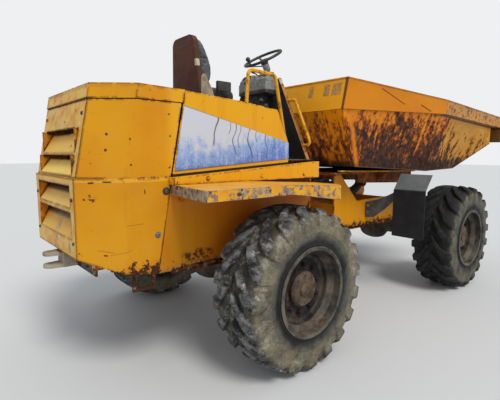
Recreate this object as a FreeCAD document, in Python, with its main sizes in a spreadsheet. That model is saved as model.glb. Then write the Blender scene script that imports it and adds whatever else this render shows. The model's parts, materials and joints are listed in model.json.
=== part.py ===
import FreeCAD, Part
import math
import operator
import os

import Sketcher
from FreeCAD import Placement, Rotation, Vector

# A site dumper with a pivot in the middle: engine and driver ride on the rear half, and the tipping skip on the
# front half. +X is forward, +Y is the machine's left and +Z is up. Lengths are millimetres, and unless a note
# says otherwise a length along X is taken from the rear axle and a height from the ground.
SIZES = [
    # name, value, what it is
    ("wheel_base", 2775, "rear axle to front axle"),
    ("tail_reach", 1405, "rear axle back to the tips of the tow hitch"),
    ("lip_reach", 3760, "rear axle to the pouring lip of the skip"),
    ("overall_width", 2500, "across the tyres"),
    ("sheet", 6, "body panels"),
    ("plate", 14, "chassis plates"),
    ("seam", 4, "gap between two panels"),
    ("fit", 0.05, "running clearance of a pin in its bore"),
    ("play", 5, "clearance beside parts that turn"),
    # wheels
    ("tyre_radius", 590, "over the lugs"),
    ("tyre_width", 445, "across the sidewalls"),
    ("tread_depth", 38, "height of the lugs"),
    ("bead_width", 24, "bead in from the sidewall"),
    ("wall_height", 120, "bead to the widest part of the sidewall"),
    ("shoulder_drop", 58, "shoulder of the carcass below the tips of the lugs"),
    ("lug_reach", 105, "sidewall to the bend in a lug"),
    ("bead_radius", 306, "where the tyre sits on the rim"),
    ("rim_radius", 324, "over the rim flange"),
    ("rim_wall", 10, "thickness of the rim"),
    ("dish_depth", 120, "rim edge in to the wheel's disc"),
    ("hub_radius", 128, "round hub cover"),
    ("hub_length", 190, "hub, from its cover inwards"),
    ("spindle_radius", 46, "axle end inside the hub"),
    ("axle_radius", 82, "axle tube"),
    ("bowl_radius", 190, "differential housing"),
    ("bowl_width", 250, "differential housing along the axle"),
    # engine housing
    ("housing_half", 655, "half width over the side panels"),
    ("tail_half", 445, "half width of the flat rear face"),
    ("tail_face", 1304, "axle back to the rear face at the ledge"),
    ("crease", 1085, "axle back to the bend between side and corner panel"),
    ("lower_proud", 14, "lower housing stands out past the upper one"),
    ("skirt_height", 757, "bottom of the side panels"),
    ("skirt_rise", 127, "how much higher the bottom is at the rear face"),
    ("ledge_height", 1390, "joint between lower and upper housing"),
    ("hood_height", 480, "upper panels, from the ledge to under the lid"),
    ("hood_lean", 0.19, "forward lean of the upper panels, per unit of height"),
    ("split", 765, "axle back to the gap before the driver's platform, at the ledge"),
    ("split_run", 103, "how much further back that gap ends at the skirt"),
    ("lid_skirt", 108, "depth of the lid over the panels"),
    ("lid_fall", 21, "how much lower the lid is at its hinge"),
    ("lid_proud", 5, "lid stands out past the panels"),
    ("hinge_radius", 9, "hinge pin of the lid"),
    ("hinge_spread", 400, "half distance between the lid's two hinges"),
    ("ledge_shelf", 34, "flange round the top of the lower housing"),
    ("louvre_half", 365, "half width of the louvres"),
    ("louvre_depth", 75, "how far the louvres' scoops reach in"),
    # driver's platform
    ("panel_half", 660, "half width over the platform's side panels"),
    ("deck_height", 1935, "seat deck at the engine housing"),
    ("deck_end", 180, "front edge of the seat deck"),
    ("deck_drop", 63, "fall of the deck to its front edge"),
    ("floor_height", 1495, "driver's floor"),
    ("floor_end", 640, "front edge of the driver's floor"),
    ("panel_end", 335, "front edge of the platform's side panels"),
    ("inset_thick", 4, "coloured panel on each side"),
    ("sill_half", 725, "half width over the sill beams"),
    ("sill_front", 1478, "top of the sill beam at its front end"),
    ("step_height", 1341, "top of the footplates"),
    ("step_half", 1180, "half width over the footplates"),
    ("step_rear", 850, "axle back to the footplate's rear corner"),
    ("step_bend", 150, "axle back to the bend in the footplate"),
    ("step_nose", 400, "front outer corner of the footplate, ahead of the axle"),
    ("step_droop", 48, "fall of the footplate's front part"),
    ("step_lip", 66, "turned-down edge of the footplate"),
    # guard, dash and controls
    ("guard_face", 655, "front face of the guard before the driver's feet"),
    ("guard_low_half", 615, "half width of the guard at its foot"),
    ("guard_top_half", 250, "half width of the guard at its top"),
    ("guard_top", 2250, "top of the guard"),
    ("dash_half", 200, "half width of the dash"),
    ("dash_depth", 150, "dash, front to back"),
    ("dash_height", 130, "height of the dash box"),
    ("wheel_centre", 646, "steering wheel, ahead of the axle"),
    ("wheel_height", 975, "centre of the steering wheel above the driver's floor"),
    ("wheel_radius", 200, "steering wheel"),
    ("wheel_grip", 13, "radius of the steering wheel's rim"),
    ("wheel_tilt", 30, "tilt of the steering wheel in degrees"),
    ("wheel_rise", 250, "steering wheel above the dash"),
    ("shroud_half", 90, "half width of the shroud under the dash"),
    ("shroud_depth", 85, "shroud under the dash, front to back"),
    ("shroud_foot", 130, "driver's floor to the foot of that shroud"),
    ("rail_radius", 14, "grab rails"),
    ("rail_stand", 90, "how far the guard's rails stand off its edges"),
    ("lever_x", 420, "rearmost hand levers, ahead of the axle"),
    ("lever_side", 290, "first hand lever, right of the middle"),
    ("lever_step", 60, "from one hand lever to the next"),
    ("lever_height", 515, "knob of the first hand lever above the driver's floor"),
    ("lever_radius", 9, "hand levers"),
    ("knob_radius", 22, "knobs of the hand levers and the steering wheel"),
    ("pedal_x", 535, "rear face of the pedals' pads, ahead of the axle"),
    ("pedal_side", 170, "pedals off the middle"),
    ("pedal_width", 110, "pedals' pads"),
    ("pedal_length", 130, "pedals' pads, bottom to top"),
    ("pedal_thick", 16, "pedals' pads"),
    ("pedal_rise", 120, "pedals' pads above the driver's floor"),
    # seat
    ("seat_back_x", 265, "axle back to the rear of the backrest"),
    ("seat_width", 420, "seat"),
    ("seat_top", 415, "top of the backrest above the seat cushion"),
    ("seat_top_half", 165, "half width of the backrest at its top"),
    ("seat_corner", 70, "rounding of the backrest's top corners"),
    ("seat_lean", 30, "how much further back the top of the backrest is"),
    ("shell_thick", 42, "moulded shell of the backrest"),
    ("back_thick", 105, "padding of the backrest at its fullest"),
    ("cushion_height", 150, "top of the seat cushion above the seat deck"),
    ("cushion_thick", 90, "seat cushion"),
    ("cushion_length", 400, "seat cushion, front to back"),
    # rear chassis
    ("side_gap", 0.3, "chassis side plates inside the lower housing"),
    ("rail_half", 430, "half distance over the two long rails"),
    ("rail_low", 790, "underside of the long rails"),
    ("rail_high", 930, "top of the long rails"),
    ("kingpin_x", 1120, "steering pivot, ahead of the rear axle"),
    ("kingpin_radius", 45, "kingpin"),
    ("tongue_low", 700, "underside of the lower pivot tongue"),
    ("tongue_high", 1110, "top of the upper pivot tongue"),
    ("tongue_thick", 34, "pivot tongues"),
    ("tongue_radius", 100, "pivot tongues round the kingpin"),
    ("arch_gap", 156.3, "chassis side plates inside the tyres"),
    ("frame_tail", 1200, "axle back to the rear end of the long rails"),
    ("arch_height", 790, "underside of the side plates over the axle"),
    ("arch_front", 1180, "underside of the side plates at their front end"),
    ("step_arm", 330, "brackets under the footplates"),
    ("saddle_half", 110, "half length of the saddles on the axles"),
    ("skid_radius", 21, "tube under each side plate"),
    ("loop_x", 950, "axle back to the middle of the tie-down loops"),
    ("loop_half", 80, "half length of the tie-down loops"),
    ("loop_drop", 145, "tie-down loops below their plates"),
    ("loop_bar", 20, "bar of the tie-down loops"),
    ("engine_rear", 930, "axle back to the rear of the engine"),
    ("engine_front", 200, "axle back to the front of the engine"),
    ("engine_half", 270, "half width of the engine"),
    ("engine_top", 1560, "top of the engine"),
    ("radiator_x", 1110, "axle back to the rear of the radiator"),
    ("radiator_thick", 80, "radiator"),
    ("radiator_half", 360, "half width of the radiator"),
    ("radiator_top", 1780, "top of the radiator"),
    ("hitch_height", 860, "top of the tow hitch"),
    ("hitch_end", 50, "tip of the tow hitch to its bore"),
    ("hitch_gap", 62, "slot of the tow hitch"),
    ("hitch_jaw", 24, "jaws of the tow hitch"),
    ("hitch_pin", 17, "radius of the tow pin's bore"),
    # front chassis
    ("roll_height", 905, "axis of the roll bearing"),
    ("roll_radius", 60, "shaft of the roll bearing"),
    ("frame_rear", 1300, "rear end of the front chassis"),
    ("frame_half", 400, "half width over the front chassis plates"),
    ("post_height", 1334, "top of the rear posts, where the skip rests"),
    ("post_back", 1405, "front edge of the posts at their top"),
    ("plate_top", 1022, "top of the side plates between the posts and the skip's pivot"),
    ("plate_low", 690, "underside of the side plates"),
    ("post_foot", 1733, "front foot of the posts on the side plates"),
    ("plate_knee", 2480, "bend of the side plates before the skip's pivot"),
    ("tip_boss", 58, "side plates round the tipping pins"),
    ("bulkhead", 30, "two plates that carry the roll bearing"),
    ("flap_x", 1900, "mudflaps"),
    ("flap_in", 750, "inner edge of the mudflaps"),
    ("flap_out", 1100, "outer edge of the mudflaps"),
    ("flap_low", 660, "bottom of the mudflaps"),
    ("flap_high", 1170, "top of the mudflaps"),
    ("flap_thick", 10, "rubber of the mudflaps"),
    ("guard_run", 130, "slope of the mudguards, front to back"),
    ("guard_rise", 160, "slope of the mudguards, in height"),
    ("guard_lip", 60, "mudguards' turned-down edge over the flaps"),
    ("arm_depth", 180, "mudguard arms where they meet the chassis"),
    ("arm_rise", 115, "rise of the mudguard arms outwards"),
    # skip
    ("tip_x", 3000, "tipping axis, ahead of the rear axle"),
    ("tip_height", 164, "tipping axis below the top of the posts"),
    ("tip_pin", 25, "radius of the tipping pins"),
    ("skip_wall", 10, "walls of the skip"),
    ("skip_floor", 18, "underside of the skip's floor above the posts"),
    ("skip_rail_half", 345, "half width over the skip's two beams"),
    ("skip_beam_start", 1790, "rear end of the skip's two beams"),
    ("beam_depth", 124, "depth of the skip's beams at their rear"),
    ("beam_boss", 60, "skip's beams round the tipping pins"),
    ("tray_half", 520, "half width of the tray under the skip"),
    ("tray_rear", 1150, "rear edge of the tray under the skip"),
    ("tray_front", 2700, "front edge of the tray under the skip"),
    ("rim_rear_height", 2245, "rear corners of the skip's rim"),
    ("rim_bend_height", 2130, "bend of the skip's rim"),
    ("rim_front_height", 1998, "front corners of the skip's rim"),
    ("rim_rear_half", 720, "half width of the rim at the rear"),
    ("rim_bend_half", 1030, "half width of the rim at its bend"),
    ("rim_front_half", 1203, "half width of the rim at the front"),
    ("rim_rear_x", 1050, "rear of the rim"),
    ("rim_bend_x", 2450, "bend of the rim"),
    ("rim_front_x", 3620, "front end of the rim, where the lip's box starts"),
    ("band_lean", 65, "rear band's foot behind the rim"),
    ("band_rear", 290, "depth of the rim band at the rear"),
    ("band_bend", 150, "depth of the rim band at its bend"),
    ("band_front", 120, "depth of the rim band at the front"),
    ("band_flare", 8, "band's foot in from the rim"),
    ("ledge_rear", 10, "band stands out over the belly at the rear"),
    ("ledge_bend", 25, "band stands out over the belly at its bend"),
    ("ledge_front", 58, "band stands out over the belly at the front"),
    ("belly_rear_x", 1280, "rear end of the skip's floor"),
    ("belly_rear_half", 655, "half width of the floor at its rear end"),
    ("belly_rear_rise", 68, "floor's rear end above its middle"),
    ("belly_bend_x", 2500, "bend of the floor"),
    ("belly_bend_half", 800, "half width of the floor at its bend"),
    ("belly_front_x", 3120, "front end of the floor"),
    ("belly_front_half", 850, "half width of the floor at its front end"),
    ("belly_front_rise", 20, "floor's front end above its middle"),
    ("cheek_x", 3520, "front edge of the belly's sides"),
    ("cheek_half", 1120, "half width of the sloping front plate at that edge"),
    ("cheek_height", 1680, "sloping front plate at that edge"),
    ("mouth_half", 990, "half width of the pouring mouth"),
    ("mouth_rear", 1757, "underside of the mouth's floor behind the lip"),
    ("mouth_front", 1785, "underside of the mouth's floor at the lip"),
    ("lip_low", 1700, "underside of the lip's box"),
    ("lip_end", 1900, "side plates' height at the lip"),
    # rams
    ("ram_radius", 50, "barrel of the tipping ram"),
    ("ram_rod", 28, "rod of the tipping ram"),
    ("ram_foot_x", 1700, "foot pin of the tipping ram"),
    ("ram_foot_z", 780, "foot pin of the tipping ram"),
    ("ram_eye_x", 2400, "eye of the tipping ram at rest"),
    ("ram_eye_z", 164, "eye of the tipping ram at rest, below the top of the posts"),
    ("ram_ear", 62, "ears of the tipping ram between its lugs"),
    ("ram_lug_gap", 72, "clear width between the tipping ram's lugs"),
    ("ram_lug", 16, "lugs of both rams"),
    ("ram_pin", 22, "pins of the tipping ram"),
    ("steer_radius", 30, "barrel of the steering ram"),
    ("steer_rod", 16, "rod of the steering ram"),
    ("steer_foot_x", 715, "foot pin of the steering ram"),
    ("steer_foot_y", 330, "foot pin of the steering ram, right of the middle"),
    ("steer_eye_x", 1160, "eye of the steering ram at rest"),
    ("steer_eye_y", 190, "eye of the steering ram at rest, right of the middle"),
    ("steer_pin", 14, "pins of the steering ram"),
    ("steer_retract", 88, "rod's travel into its barrel from straight ahead"),
    ("steer_ear", 34, "ears of the steering ram between its lugs"),
    ("steer_lug_gap", 44, "clear width between the steering ram's lugs"),
]

OPERATORS = {"+": operator.add, "-": operator.sub, "*": operator.mul, "/": operator.truediv}
PLANES = {"XY": ("XY_Plane", 1), "XZ": ("XZ_Plane", -1), "YZ": ("YZ_Plane", 1)}


class Size:
    """A number together with the spreadsheet formula that gives it."""

    def __init__(self, value, text):
        self.value = value
        self.text = text

    def __add__(self, other):
        return join("+", self, other)

    def __radd__(self, other):
        return join("+", other, self)

    def __sub__(self, other):
        return join("-", self, other)

    def __rsub__(self, other):
        return join("-", other, self)

    def __mul__(self, other):
        return join("*", self, other)

    def __rmul__(self, other):
        return join("*", other, self)

    def __truediv__(self, other):
        return join("/", self, other)

    def __neg__(self):
        return join("-", 0, self)


def size(number):
    """Any number as a Size."""
    return number if isinstance(number, Size) else Size(float(number), f"({float(number)})")


def join(sign, left, right):
    left = size(left)
    right = size(right)
    return Size(OPERATORS[sign](left.value, right.value), f"({left.text} {sign} {right.text})")


doc = FreeCAD.newDocument("site_dumper")
table = doc.addObject("Spreadsheet::Sheet", "sizes")


class Sizes:
    """Each size under its own name."""


d = Sizes()
for row, (name, value, note) in enumerate(SIZES, 1):
    table.set(f"A{row}", name)
    table.set(f"B{row}", str(value))
    table.set(f"C{row}", note)
    table.setAlias(f"B{row}", name)
    setattr(d, name, Size(float(value), f"sizes.{name}"))
doc.recompute()

SHIFT = (d.tail_reach - d.lip_reach) / 2
TOP_OF_LID = d.ledge_height + d.hood_height + d.lid_skirt
TIP_HEIGHT = d.post_height - d.tip_height
SKIP_FLOOR = d.post_height + d.skip_floor
WHEEL_HEIGHT = d.floor_height + d.wheel_height
CUSHION_TOP = d.deck_height + d.cushion_height
SEAT_TOP = CUSHION_TOP + d.seat_top
LUGS = 19
nodes = []


def bind(item, field, number):
    """Ties one field of an object to its formula."""
    item.setExpression(field, size(number).text)


def register(item, name, x=0, y=0, z=0):
    """Names a sub-part and places it, with the frame's origin under the middle of the machine."""
    item.Label = name
    bind(item, "Placement.Base.x", SHIFT + x)
    bind(item, "Placement.Base.y", y)
    bind(item, "Placement.Base.z", z)
    nodes.append(item)
    return item


def new_body(name, x=0, y=0, z=0):
    return register(doc.addObject("PartDesign::Body", name), name, x, y, z)


def flat(point):
    return Vector(size(point[0]).value, size(point[1]).value, 0)


def draw(body, plane, points, level, circles=()):
    """A closed outline on one of the body's own planes. A point with a third entry bends the edge through it,
    and each circle is a centre and a radius."""
    role, sign = PLANES[plane]
    sketch = body.newObject("Sketcher::SketchObject", "outline")
    origin = [f for f in body.Origin.OriginFeatures if f.Role == role][0]
    sketch.AttachmentSupport = [(origin, "")]
    sketch.MapMode = "FlatFace"
    bind(sketch, "AttachmentOffset.Base.z", size(level) * sign)
    rules = []

    def fix(geometry, end, point):
        for kind, number in zip(("DistanceX", "DistanceY"), point):
            number = size(number)
            rule = Sketcher.Constraint(kind, -1, 1, geometry, end, number.value)
            rules.append((rule, number.text))

    corners = []
    bends = {}
    for point in points:
        if len(point) == 3:
            bends[len(corners) - 1] = point
        else:
            corners.append(point)
    edges = []
    for i, corner in enumerate(corners):
        start = flat(corner)
        end = flat(corners[(i + 1) % len(corners)])
        if i not in bends:
            edges.append((sketch.addGeometry(Part.LineSegment(start, end), False), 1, 2))
            continue
        middle = flat(bends[i])
        left_turn = (middle - start).cross(end - middle).z > 0
        if left_turn:
            edges.append((sketch.addGeometry(Part.Arc(start, middle, end), False), 1, 2))
        else:
            edges.append((sketch.addGeometry(Part.Arc(end, middle, start), False), 2, 1))
        dot = sketch.addGeometry(Part.Point(middle), True)
        fix(dot, 1, bends[i])
        rules.append((Sketcher.Constraint("PointOnObject", dot, 1, edges[-1][0]), None))
    for i, (geometry, first, last) in enumerate(edges):
        following, entry, _ = edges[(i + 1) % len(edges)]
        rules.append((Sketcher.Constraint("Coincident", geometry, last, following, entry), None))
        fix(geometry, first, corners[i])
    for across, along, radius in circles:
        radius = size(radius)
        ring = sketch.addGeometry(Part.Circle(flat((across, along)), Vector(0, 0, 1), radius.value), False)
        fix(ring, 3, (across, along))
        rules.append((Sketcher.Constraint("Radius", ring, radius.value), radius.text))
    sketch.addConstraint([rule for rule, _ in rules])
    for i, (_, text) in enumerate(rules):
        if text is not None:
            sketch.setExpression(f"Constraints[{i}]", text)
    return sketch


def sweep(body, kind, plane, points, low, high, circles, lean):
    low = size(low)
    high = size(high)
    feature_type = {"add": "PartDesign::Pad", "cut": "PartDesign::Pocket"}[kind]
    sketch = draw(body, plane, points, high if plane == "XZ" else low, circles)
    feature = body.newObject(feature_type, kind)
    feature.Profile = sketch
    if kind == "cut":
        feature.Reversed = True
    bind(feature, "Length", high - low)
    if lean is not None:
        feature.UseCustomVector = True
        feature.AlongSketchNormal = True
        sign = -1 if kind == "cut" else 1
        feature.Direction = Vector(lean.value * sign, 0, sign)
        bind(feature, "Direction.x", lean * sign)
    return feature


def add(body, plane, points, low, high, circles=(), lean=None):
    """Adds a plate drawn on a plane, from low to high along that plane's axis."""
    return sweep(body, "add", plane, points, low, high, circles, lean)


def cut(body, plane, points, low, high, circles=(), lean=None):
    """Cuts a hole drawn on a plane, from low to high along that plane's axis."""
    return sweep(body, "cut", plane, points, low, high, circles, lean)


def disc(body, plane, centre, radius, low, high, bore=None):
    circles = [(*centre, radius)]
    if bore is not None:
        circles.append((*centre, bore))
    return add(body, plane, [], low, high, circles)


def spin(body, plane, points):
    """Turns an outline about the plane's first axis."""
    sketch = draw(body, plane, points, 0)
    feature = body.newObject("PartDesign::Revolution", "turned")
    feature.Profile = sketch
    feature.ReferenceAxis = (sketch, ["H_Axis"])
    feature.Angle = 360
    return feature


def mirror(body, features):
    """Repeats features on the other side of the machine's middle plane."""
    copy = body.newObject("PartDesign::Mirrored", "mirrored")
    copy.Originals = features
    copy.MirrorPlane = ([f for f in body.Origin.OriginFeatures if f.Role == "XZ_Plane"][0], [""])
    body.Tip = copy
    return copy


def other_side(source, name):
    """The same sub-part on the machine's left."""
    copy = doc.addObject("Part::Mirroring", name)
    copy.Source = source
    copy.Normal = Vector(0, 1, 0)
    copy.Label = name
    nodes.append(copy)
    return copy


def box(a_low, a_high, b_low, b_high):
    """A rectangle's corners."""
    return [(a_low, b_low), (a_high, b_low), (a_high, b_high), (a_low, b_high)]


def across(points):
    """Closes a half outline given as (x, half width) on both sides of the middle."""
    return [(a, -b) for a, b in points] + list(reversed(points))


def upright(points):
    """Closes a half outline given as (half width, height) on both sides of the middle."""
    return points + [(-a, b) for a, b in reversed(points)]


def from_code(name, shape, x=0, z=0):
    """A sub-part whose shape is worked out in this file from the sheet's sizes."""
    item = doc.addObject("Part::Feature", name)
    item.Shape = shape
    return register(item, name, x=x, z=z)


def solid_of(faces):
    """A closed solid from flat faces, each a list of corners."""
    solid = Part.makeSolid(Part.makeShell([Part.Face(Part.makePolygon([*face, face[0]])) for face in faces]))
    if solid.Volume < 0:
        solid.reverse()
    return solid


def between(start, end, share):
    return start + (end - start) * share


def rod(start, end, radius, bore=0):
    """A round bar between two points."""
    start = Vector(*start)
    run = Vector(*end) - start
    bar = Part.makeCylinder(radius, run.Length, start, run)
    if bore:
        bar = bar.cut(Part.makeCylinder(bore, run.Length, start, run))
    return bar


def tube(points, radius, bend):
    """A round bar bent with one radius at each inner point."""
    points = [Vector(*point) for point in points]
    edges = []
    start = points[0]
    for before, corner, after in zip(points, points[1:], points[2:]):
        back = (before - corner).normalize()
        ahead = (after - corner).normalize()
        half = back.getAngle(ahead) / 2
        reach = bend / math.tan(half)
        first = corner + back * reach
        last = corner + ahead * reach
        middle = corner + (back + ahead).normalize() * (bend / math.sin(half) - bend)
        edges.append(Part.makeLine(start, first))
        edges.append(Part.Arc(first, middle, last).toShape())
        start = last
    edges.append(Part.makeLine(start, points[-1]))
    path = Part.Wire(edges)
    circle = Part.makeCircle(radius, points[0], points[1] - points[0])
    return path.makePipeShell([Part.Wire([circle])], True, True)


# Engine housing

LOWER_FACE = d.tail_face + d.lower_proud


def housing_wall(body, face, crease, side, front, wall, low, high, lean=None):
    """Two sides, two corner panels and a rear face seen from above, open to the front."""
    outer = [(-front, -side), (-crease, -side), (-face, -d.tail_half), (-face, d.tail_half), (-crease, side),
             (-front, side)]
    near = d.tail_half - wall * 0.4
    inner = [(-front, side - wall), (-crease + wall * 0.4, side - wall), (-face + wall, near),
             (-face + wall, -near), (-crease + wall * 0.4, wall - side), (-front, wall - side)]
    return add(body, "XY", outer + inner, low, high, lean=lean)


def make_lower_housing():
    body = new_body("rear_body_lower")
    side = d.housing_half
    housing_wall(body, LOWER_FACE, d.crease, side, d.split, d.sheet, d.skirt_height, d.ledge_height)
    housing_wall(body, LOWER_FACE, d.crease, side, d.split, d.ledge_shelf, d.ledge_height - d.sheet,
                 d.ledge_height)
    low = d.skirt_height - 20
    slope = [(-LOWER_FACE - 50, low), (-d.split - d.split_run, low), (-d.split - d.split_run, d.skirt_height),
             (-d.crease, d.skirt_height + d.skirt_rise * 0.26),
             (-LOWER_FACE - 50, d.skirt_height + d.skirt_rise * 1.15)]
    cut(body, "XZ", slope, -side - 50, side + 50)
    edge = [(-d.split, d.ledge_height), (-d.split + 20, d.ledge_height + 20), (-d.split + 20, low),
            (-d.split - d.split_run, low)]
    cut(body, "XZ", edge, -side - 50, side + 50)
    depth = d.ledge_height - d.skirt_height
    for bottom, top in ((0.3, 0.08), (0.616, 0.348)):
        low = d.ledge_height - depth * bottom
        high = d.ledge_height - depth * top
        cut(body, "YZ", box(-d.louvre_half, d.louvre_half, low, high), -LOWER_FACE - 20, -LOWER_FACE + 20)
        scoop(body, -LOWER_FACE, low, high)
    return body


def scoop(body, foot, low, high):
    """A louvre's sloping plate, which rises inwards from the opening's bottom edge, with a cheek at each end."""
    back = foot + d.louvre_depth
    top = high - 26
    wide = d.louvre_half
    add(body, "XZ", [(foot, low), (back, top), (back, top - d.sheet), (foot + d.sheet, low - d.sheet),
                     (foot, low - d.sheet)], -wide, wide)
    cheek = [(foot, low - d.sheet), (back, top - d.sheet), (back, top), (foot, high)]
    one = add(body, "XZ", cheek, wide, wide + d.sheet)
    other = add(body, "XZ", cheek, -wide - d.sheet, -wide)
    return one, other


def make_grille():
    body = new_body("grille_upper")
    low = d.ledge_height
    high = low + d.hood_height
    lean = d.hood_lean * d.hood_height
    face = -d.tail_face
    half = d.tail_half - d.seam
    add(body, "XZ", [(face, low), (face + lean, high), (face + lean + d.sheet, high), (face + d.sheet, low)],
        -half, half)
    for bottom, top in ((0.03, 0.29), (0.323, 0.646)):
        start = d.hood_height * bottom
        foot = face + d.hood_lean * start
        cut(body, "YZ", box(-d.louvre_half, d.louvre_half, low + start, low + d.hood_height * top),
            foot - 30, foot + 60)
        scoop(body, foot, low + start, low + d.hood_height * top)
    return body


def make_engine_side():
    body = new_body("engine_side_right")
    wall = d.sheet
    side = d.housing_half
    outer = [(-d.split - d.seam, -side), (-d.crease, -side), (-d.tail_face, -d.tail_half)]
    inner = [(-d.tail_face + wall, -d.tail_half + wall * 0.4), (-d.crease + wall * 0.4, wall - side),
             (-d.split - d.seam, wall - side)]
    add(body, "XY", outer + inner, d.ledge_height, d.ledge_height + d.hood_height, lean=d.hood_lean)
    return body


def lid_front():
    """Top front edge of the lid along X."""
    return -d.split - d.seam + 8 + d.hood_lean * (d.hood_height + d.play + d.lid_skirt)


def lid_hinge():
    """Place of the lid's hinge pins, just ahead of its top front edge."""
    return lid_front() + 17, TOP_OF_LID - d.lid_fall


def deck_at(x):
    """Height of the seat deck, which falls forwards."""
    rear = -d.split + d.seam + d.hood_lean * (d.hood_height + d.lid_skirt)
    return d.deck_height - d.deck_drop * ((x - rear) / (d.deck_end - rear))


def make_lid():
    body = new_body("bonnet_lid")
    proud = d.lid_proud
    lean = d.hood_lean * (d.hood_height + d.play)
    base = d.ledge_height + d.hood_height + d.play
    side = d.housing_half + proud
    front = -d.split - d.seam + lean + 8
    outline = across([(front, side), (-d.crease + lean - proud, side),
                      (-d.tail_face + lean - proud, d.tail_half)])
    add(body, "XY", outline, base, TOP_OF_LID, lean=d.hood_lean)
    top = [(front - 900, TOP_OF_LID), (front - 900, TOP_OF_LID + 30), (front + 90, TOP_OF_LID + 30),
           (front + 90, TOP_OF_LID - d.lid_fall)]
    cut(body, "XZ", top, -side - 20, side + 20)
    wall = d.sheet
    inner = across([(front - wall, side - wall), (-d.crease + lean - proud + wall * 0.4, side - wall),
                    (-d.tail_face + lean - proud + wall, d.tail_half - wall * 0.4)])
    cut(body, "XY", inner, base - 1, TOP_OF_LID - d.lid_fall - wall, lean=d.hood_lean)
    x, z = lid_hinge()
    r = d.hinge_radius + 5
    for middle in (-d.hinge_spread, d.hinge_spread):
        half = 26
        add(body, "XZ", box(x - 40, x, z - wall, z), middle - half, middle + half)
        disc(body, "XZ", (x, z), r, middle - half, middle + half)
        cut(body, "XZ", [], middle - half - 1, middle + half + 1, circles=[(x, z, d.hinge_radius + d.fit)])
    return body


# Driver's platform

def front_rise():
    """Height of the seat deck's front edge over the driver's floor."""
    return d.deck_height - d.deck_drop - d.floor_height


def make_platform():
    body = new_body("platform_right")
    half = d.panel_half
    rear = -d.split + d.seam
    lean = d.hood_lean * (d.hood_height + d.lid_skirt)
    low = d.step_height + 10
    rise = front_rise()
    outline = [(rear - 8, low), (rear + lean, d.deck_height + 20), (-d.step_bend - 7, d.deck_height - 9),
               (d.deck_end + 22, d.deck_height - d.deck_drop + 20),
               (d.panel_end - 60, d.floor_height + rise * 0.676),
               (d.panel_end - 3, d.floor_height + rise * 0.366), (d.panel_end, low)]
    add(body, "XZ", outline, -half, -half + d.sheet)
    return body


def make_insets():
    body = new_body("engine_door_insets")
    rear = -d.split + d.seam
    outline = [(rear + 17, d.ledge_height + 35),
               (rear + 96, d.ledge_height + (d.deck_height - d.ledge_height) * 0.857),
               (d.panel_end - 4, d.floor_height + front_rise() * 0.366), (d.panel_end, d.floor_height + 7)]
    panel = add(body, "XZ", outline, -d.panel_half - d.inset_thick, -d.panel_half)
    mirror(body, [panel])
    return body


def make_floor():
    body = new_body("driver_floor")
    rear = -d.split + d.seam + d.hood_lean * (d.hood_height + d.lid_skirt)
    top = d.deck_height
    edge = top - d.deck_drop
    t = d.sheet
    outline = [(rear, top), (d.deck_end, edge), (d.deck_end + 56, d.floor_height),
               (d.floor_end, d.floor_height),
               (d.floor_end, d.floor_height - t), (d.deck_end + 50, d.floor_height - t),
               (d.deck_end - t, edge - t), (rear, top - t)]
    inner = d.panel_half - d.sheet
    add(body, "XZ", outline, -inner, inner)
    x, z = lid_hinge()
    r = d.hinge_radius + 3
    ear = [(x - r, deck_at(x)), (x - r, z), (x + r, z), (x + r, deck_at(x + r) - d.sheet / 2)]
    for middle in (-d.hinge_spread, d.hinge_spread):
        for side in (-1, 1):
            near = middle + side * 35
            add(body, "XZ", ear, near - 4, near + 4)
            disc(body, "XZ", (x, z), r, near - 4, near + 4)
        disc(body, "XZ", (x, z), d.hinge_radius, middle - 42, middle + 42)
    return body


def make_sills():
    body = new_body("sill_beams")
    outline = [(-d.split - 20, d.ledge_height - 2), (d.guard_face, d.sill_front),
               (d.guard_face, d.step_height), (-d.split - 20, d.step_height)]
    beam = add(body, "XZ", outline, -d.sill_half, -d.panel_half)
    mirror(body, [beam])
    return body


def make_footplate():
    body = new_body("footplate_right")
    top = d.step_height
    t = d.sheet
    front = d.guard_face
    low = top - d.step_droop
    rear = -d.step_rear
    bend = -d.step_bend
    inner = -d.panel_half
    outer = -d.step_half
    deep = top - d.step_lip * 6
    profile = [(rear, top), (bend, top), (front, low), (front, low - t), (bend, top - t), (rear, top - t)]
    add(body, "XZ", profile, outer, inner)
    beyond = [(rear - 9, inner + 9), (rear + 80, inner + 9), (rear + 80, inner), (rear, outer), (bend, outer),
              (d.step_nose, outer + 30), (front - 25, outer + 230), (front, -d.sill_half),
              (front + 9, -d.sill_half), (front + 9, outer - 9), (rear - 9, outer - 9)]
    cut(body, "XY", beyond, deep, top + 9)
    path = [(rear + 80, inner), (rear, outer), (bend, outer), (d.step_nose, outer + 30),
            (front - 25, outer + 230), (front, -d.sill_half)]
    back = [(front - t, -d.sill_half), (front - 25 - t, outer + 230 + t * 0.5),
            (d.step_nose - t * 0.4, outer + 30 + t),
            (bend, outer + t), (rear + t, outer + t), (rear + 80 + t, inner)]
    add(body, "XY", path + back, low - d.step_lip * 2, top)
    above = [(rear - 9, top), (bend, top), (front, low), (front + 9, low), (front + 9, top + 9),
             (rear - 9, top + 9)]
    cut(body, "XZ", above, outer - 9, inner + 9)
    below = [(rear - 9, top - d.step_lip), (bend, top - d.step_lip), (front, low - d.step_lip * 2),
             (front + 9, low - d.step_lip * 2), (front + 9, deep), (rear - 9, deep)]
    cut(body, "XZ", below, outer - 9, inner + 9)
    return body


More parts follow.
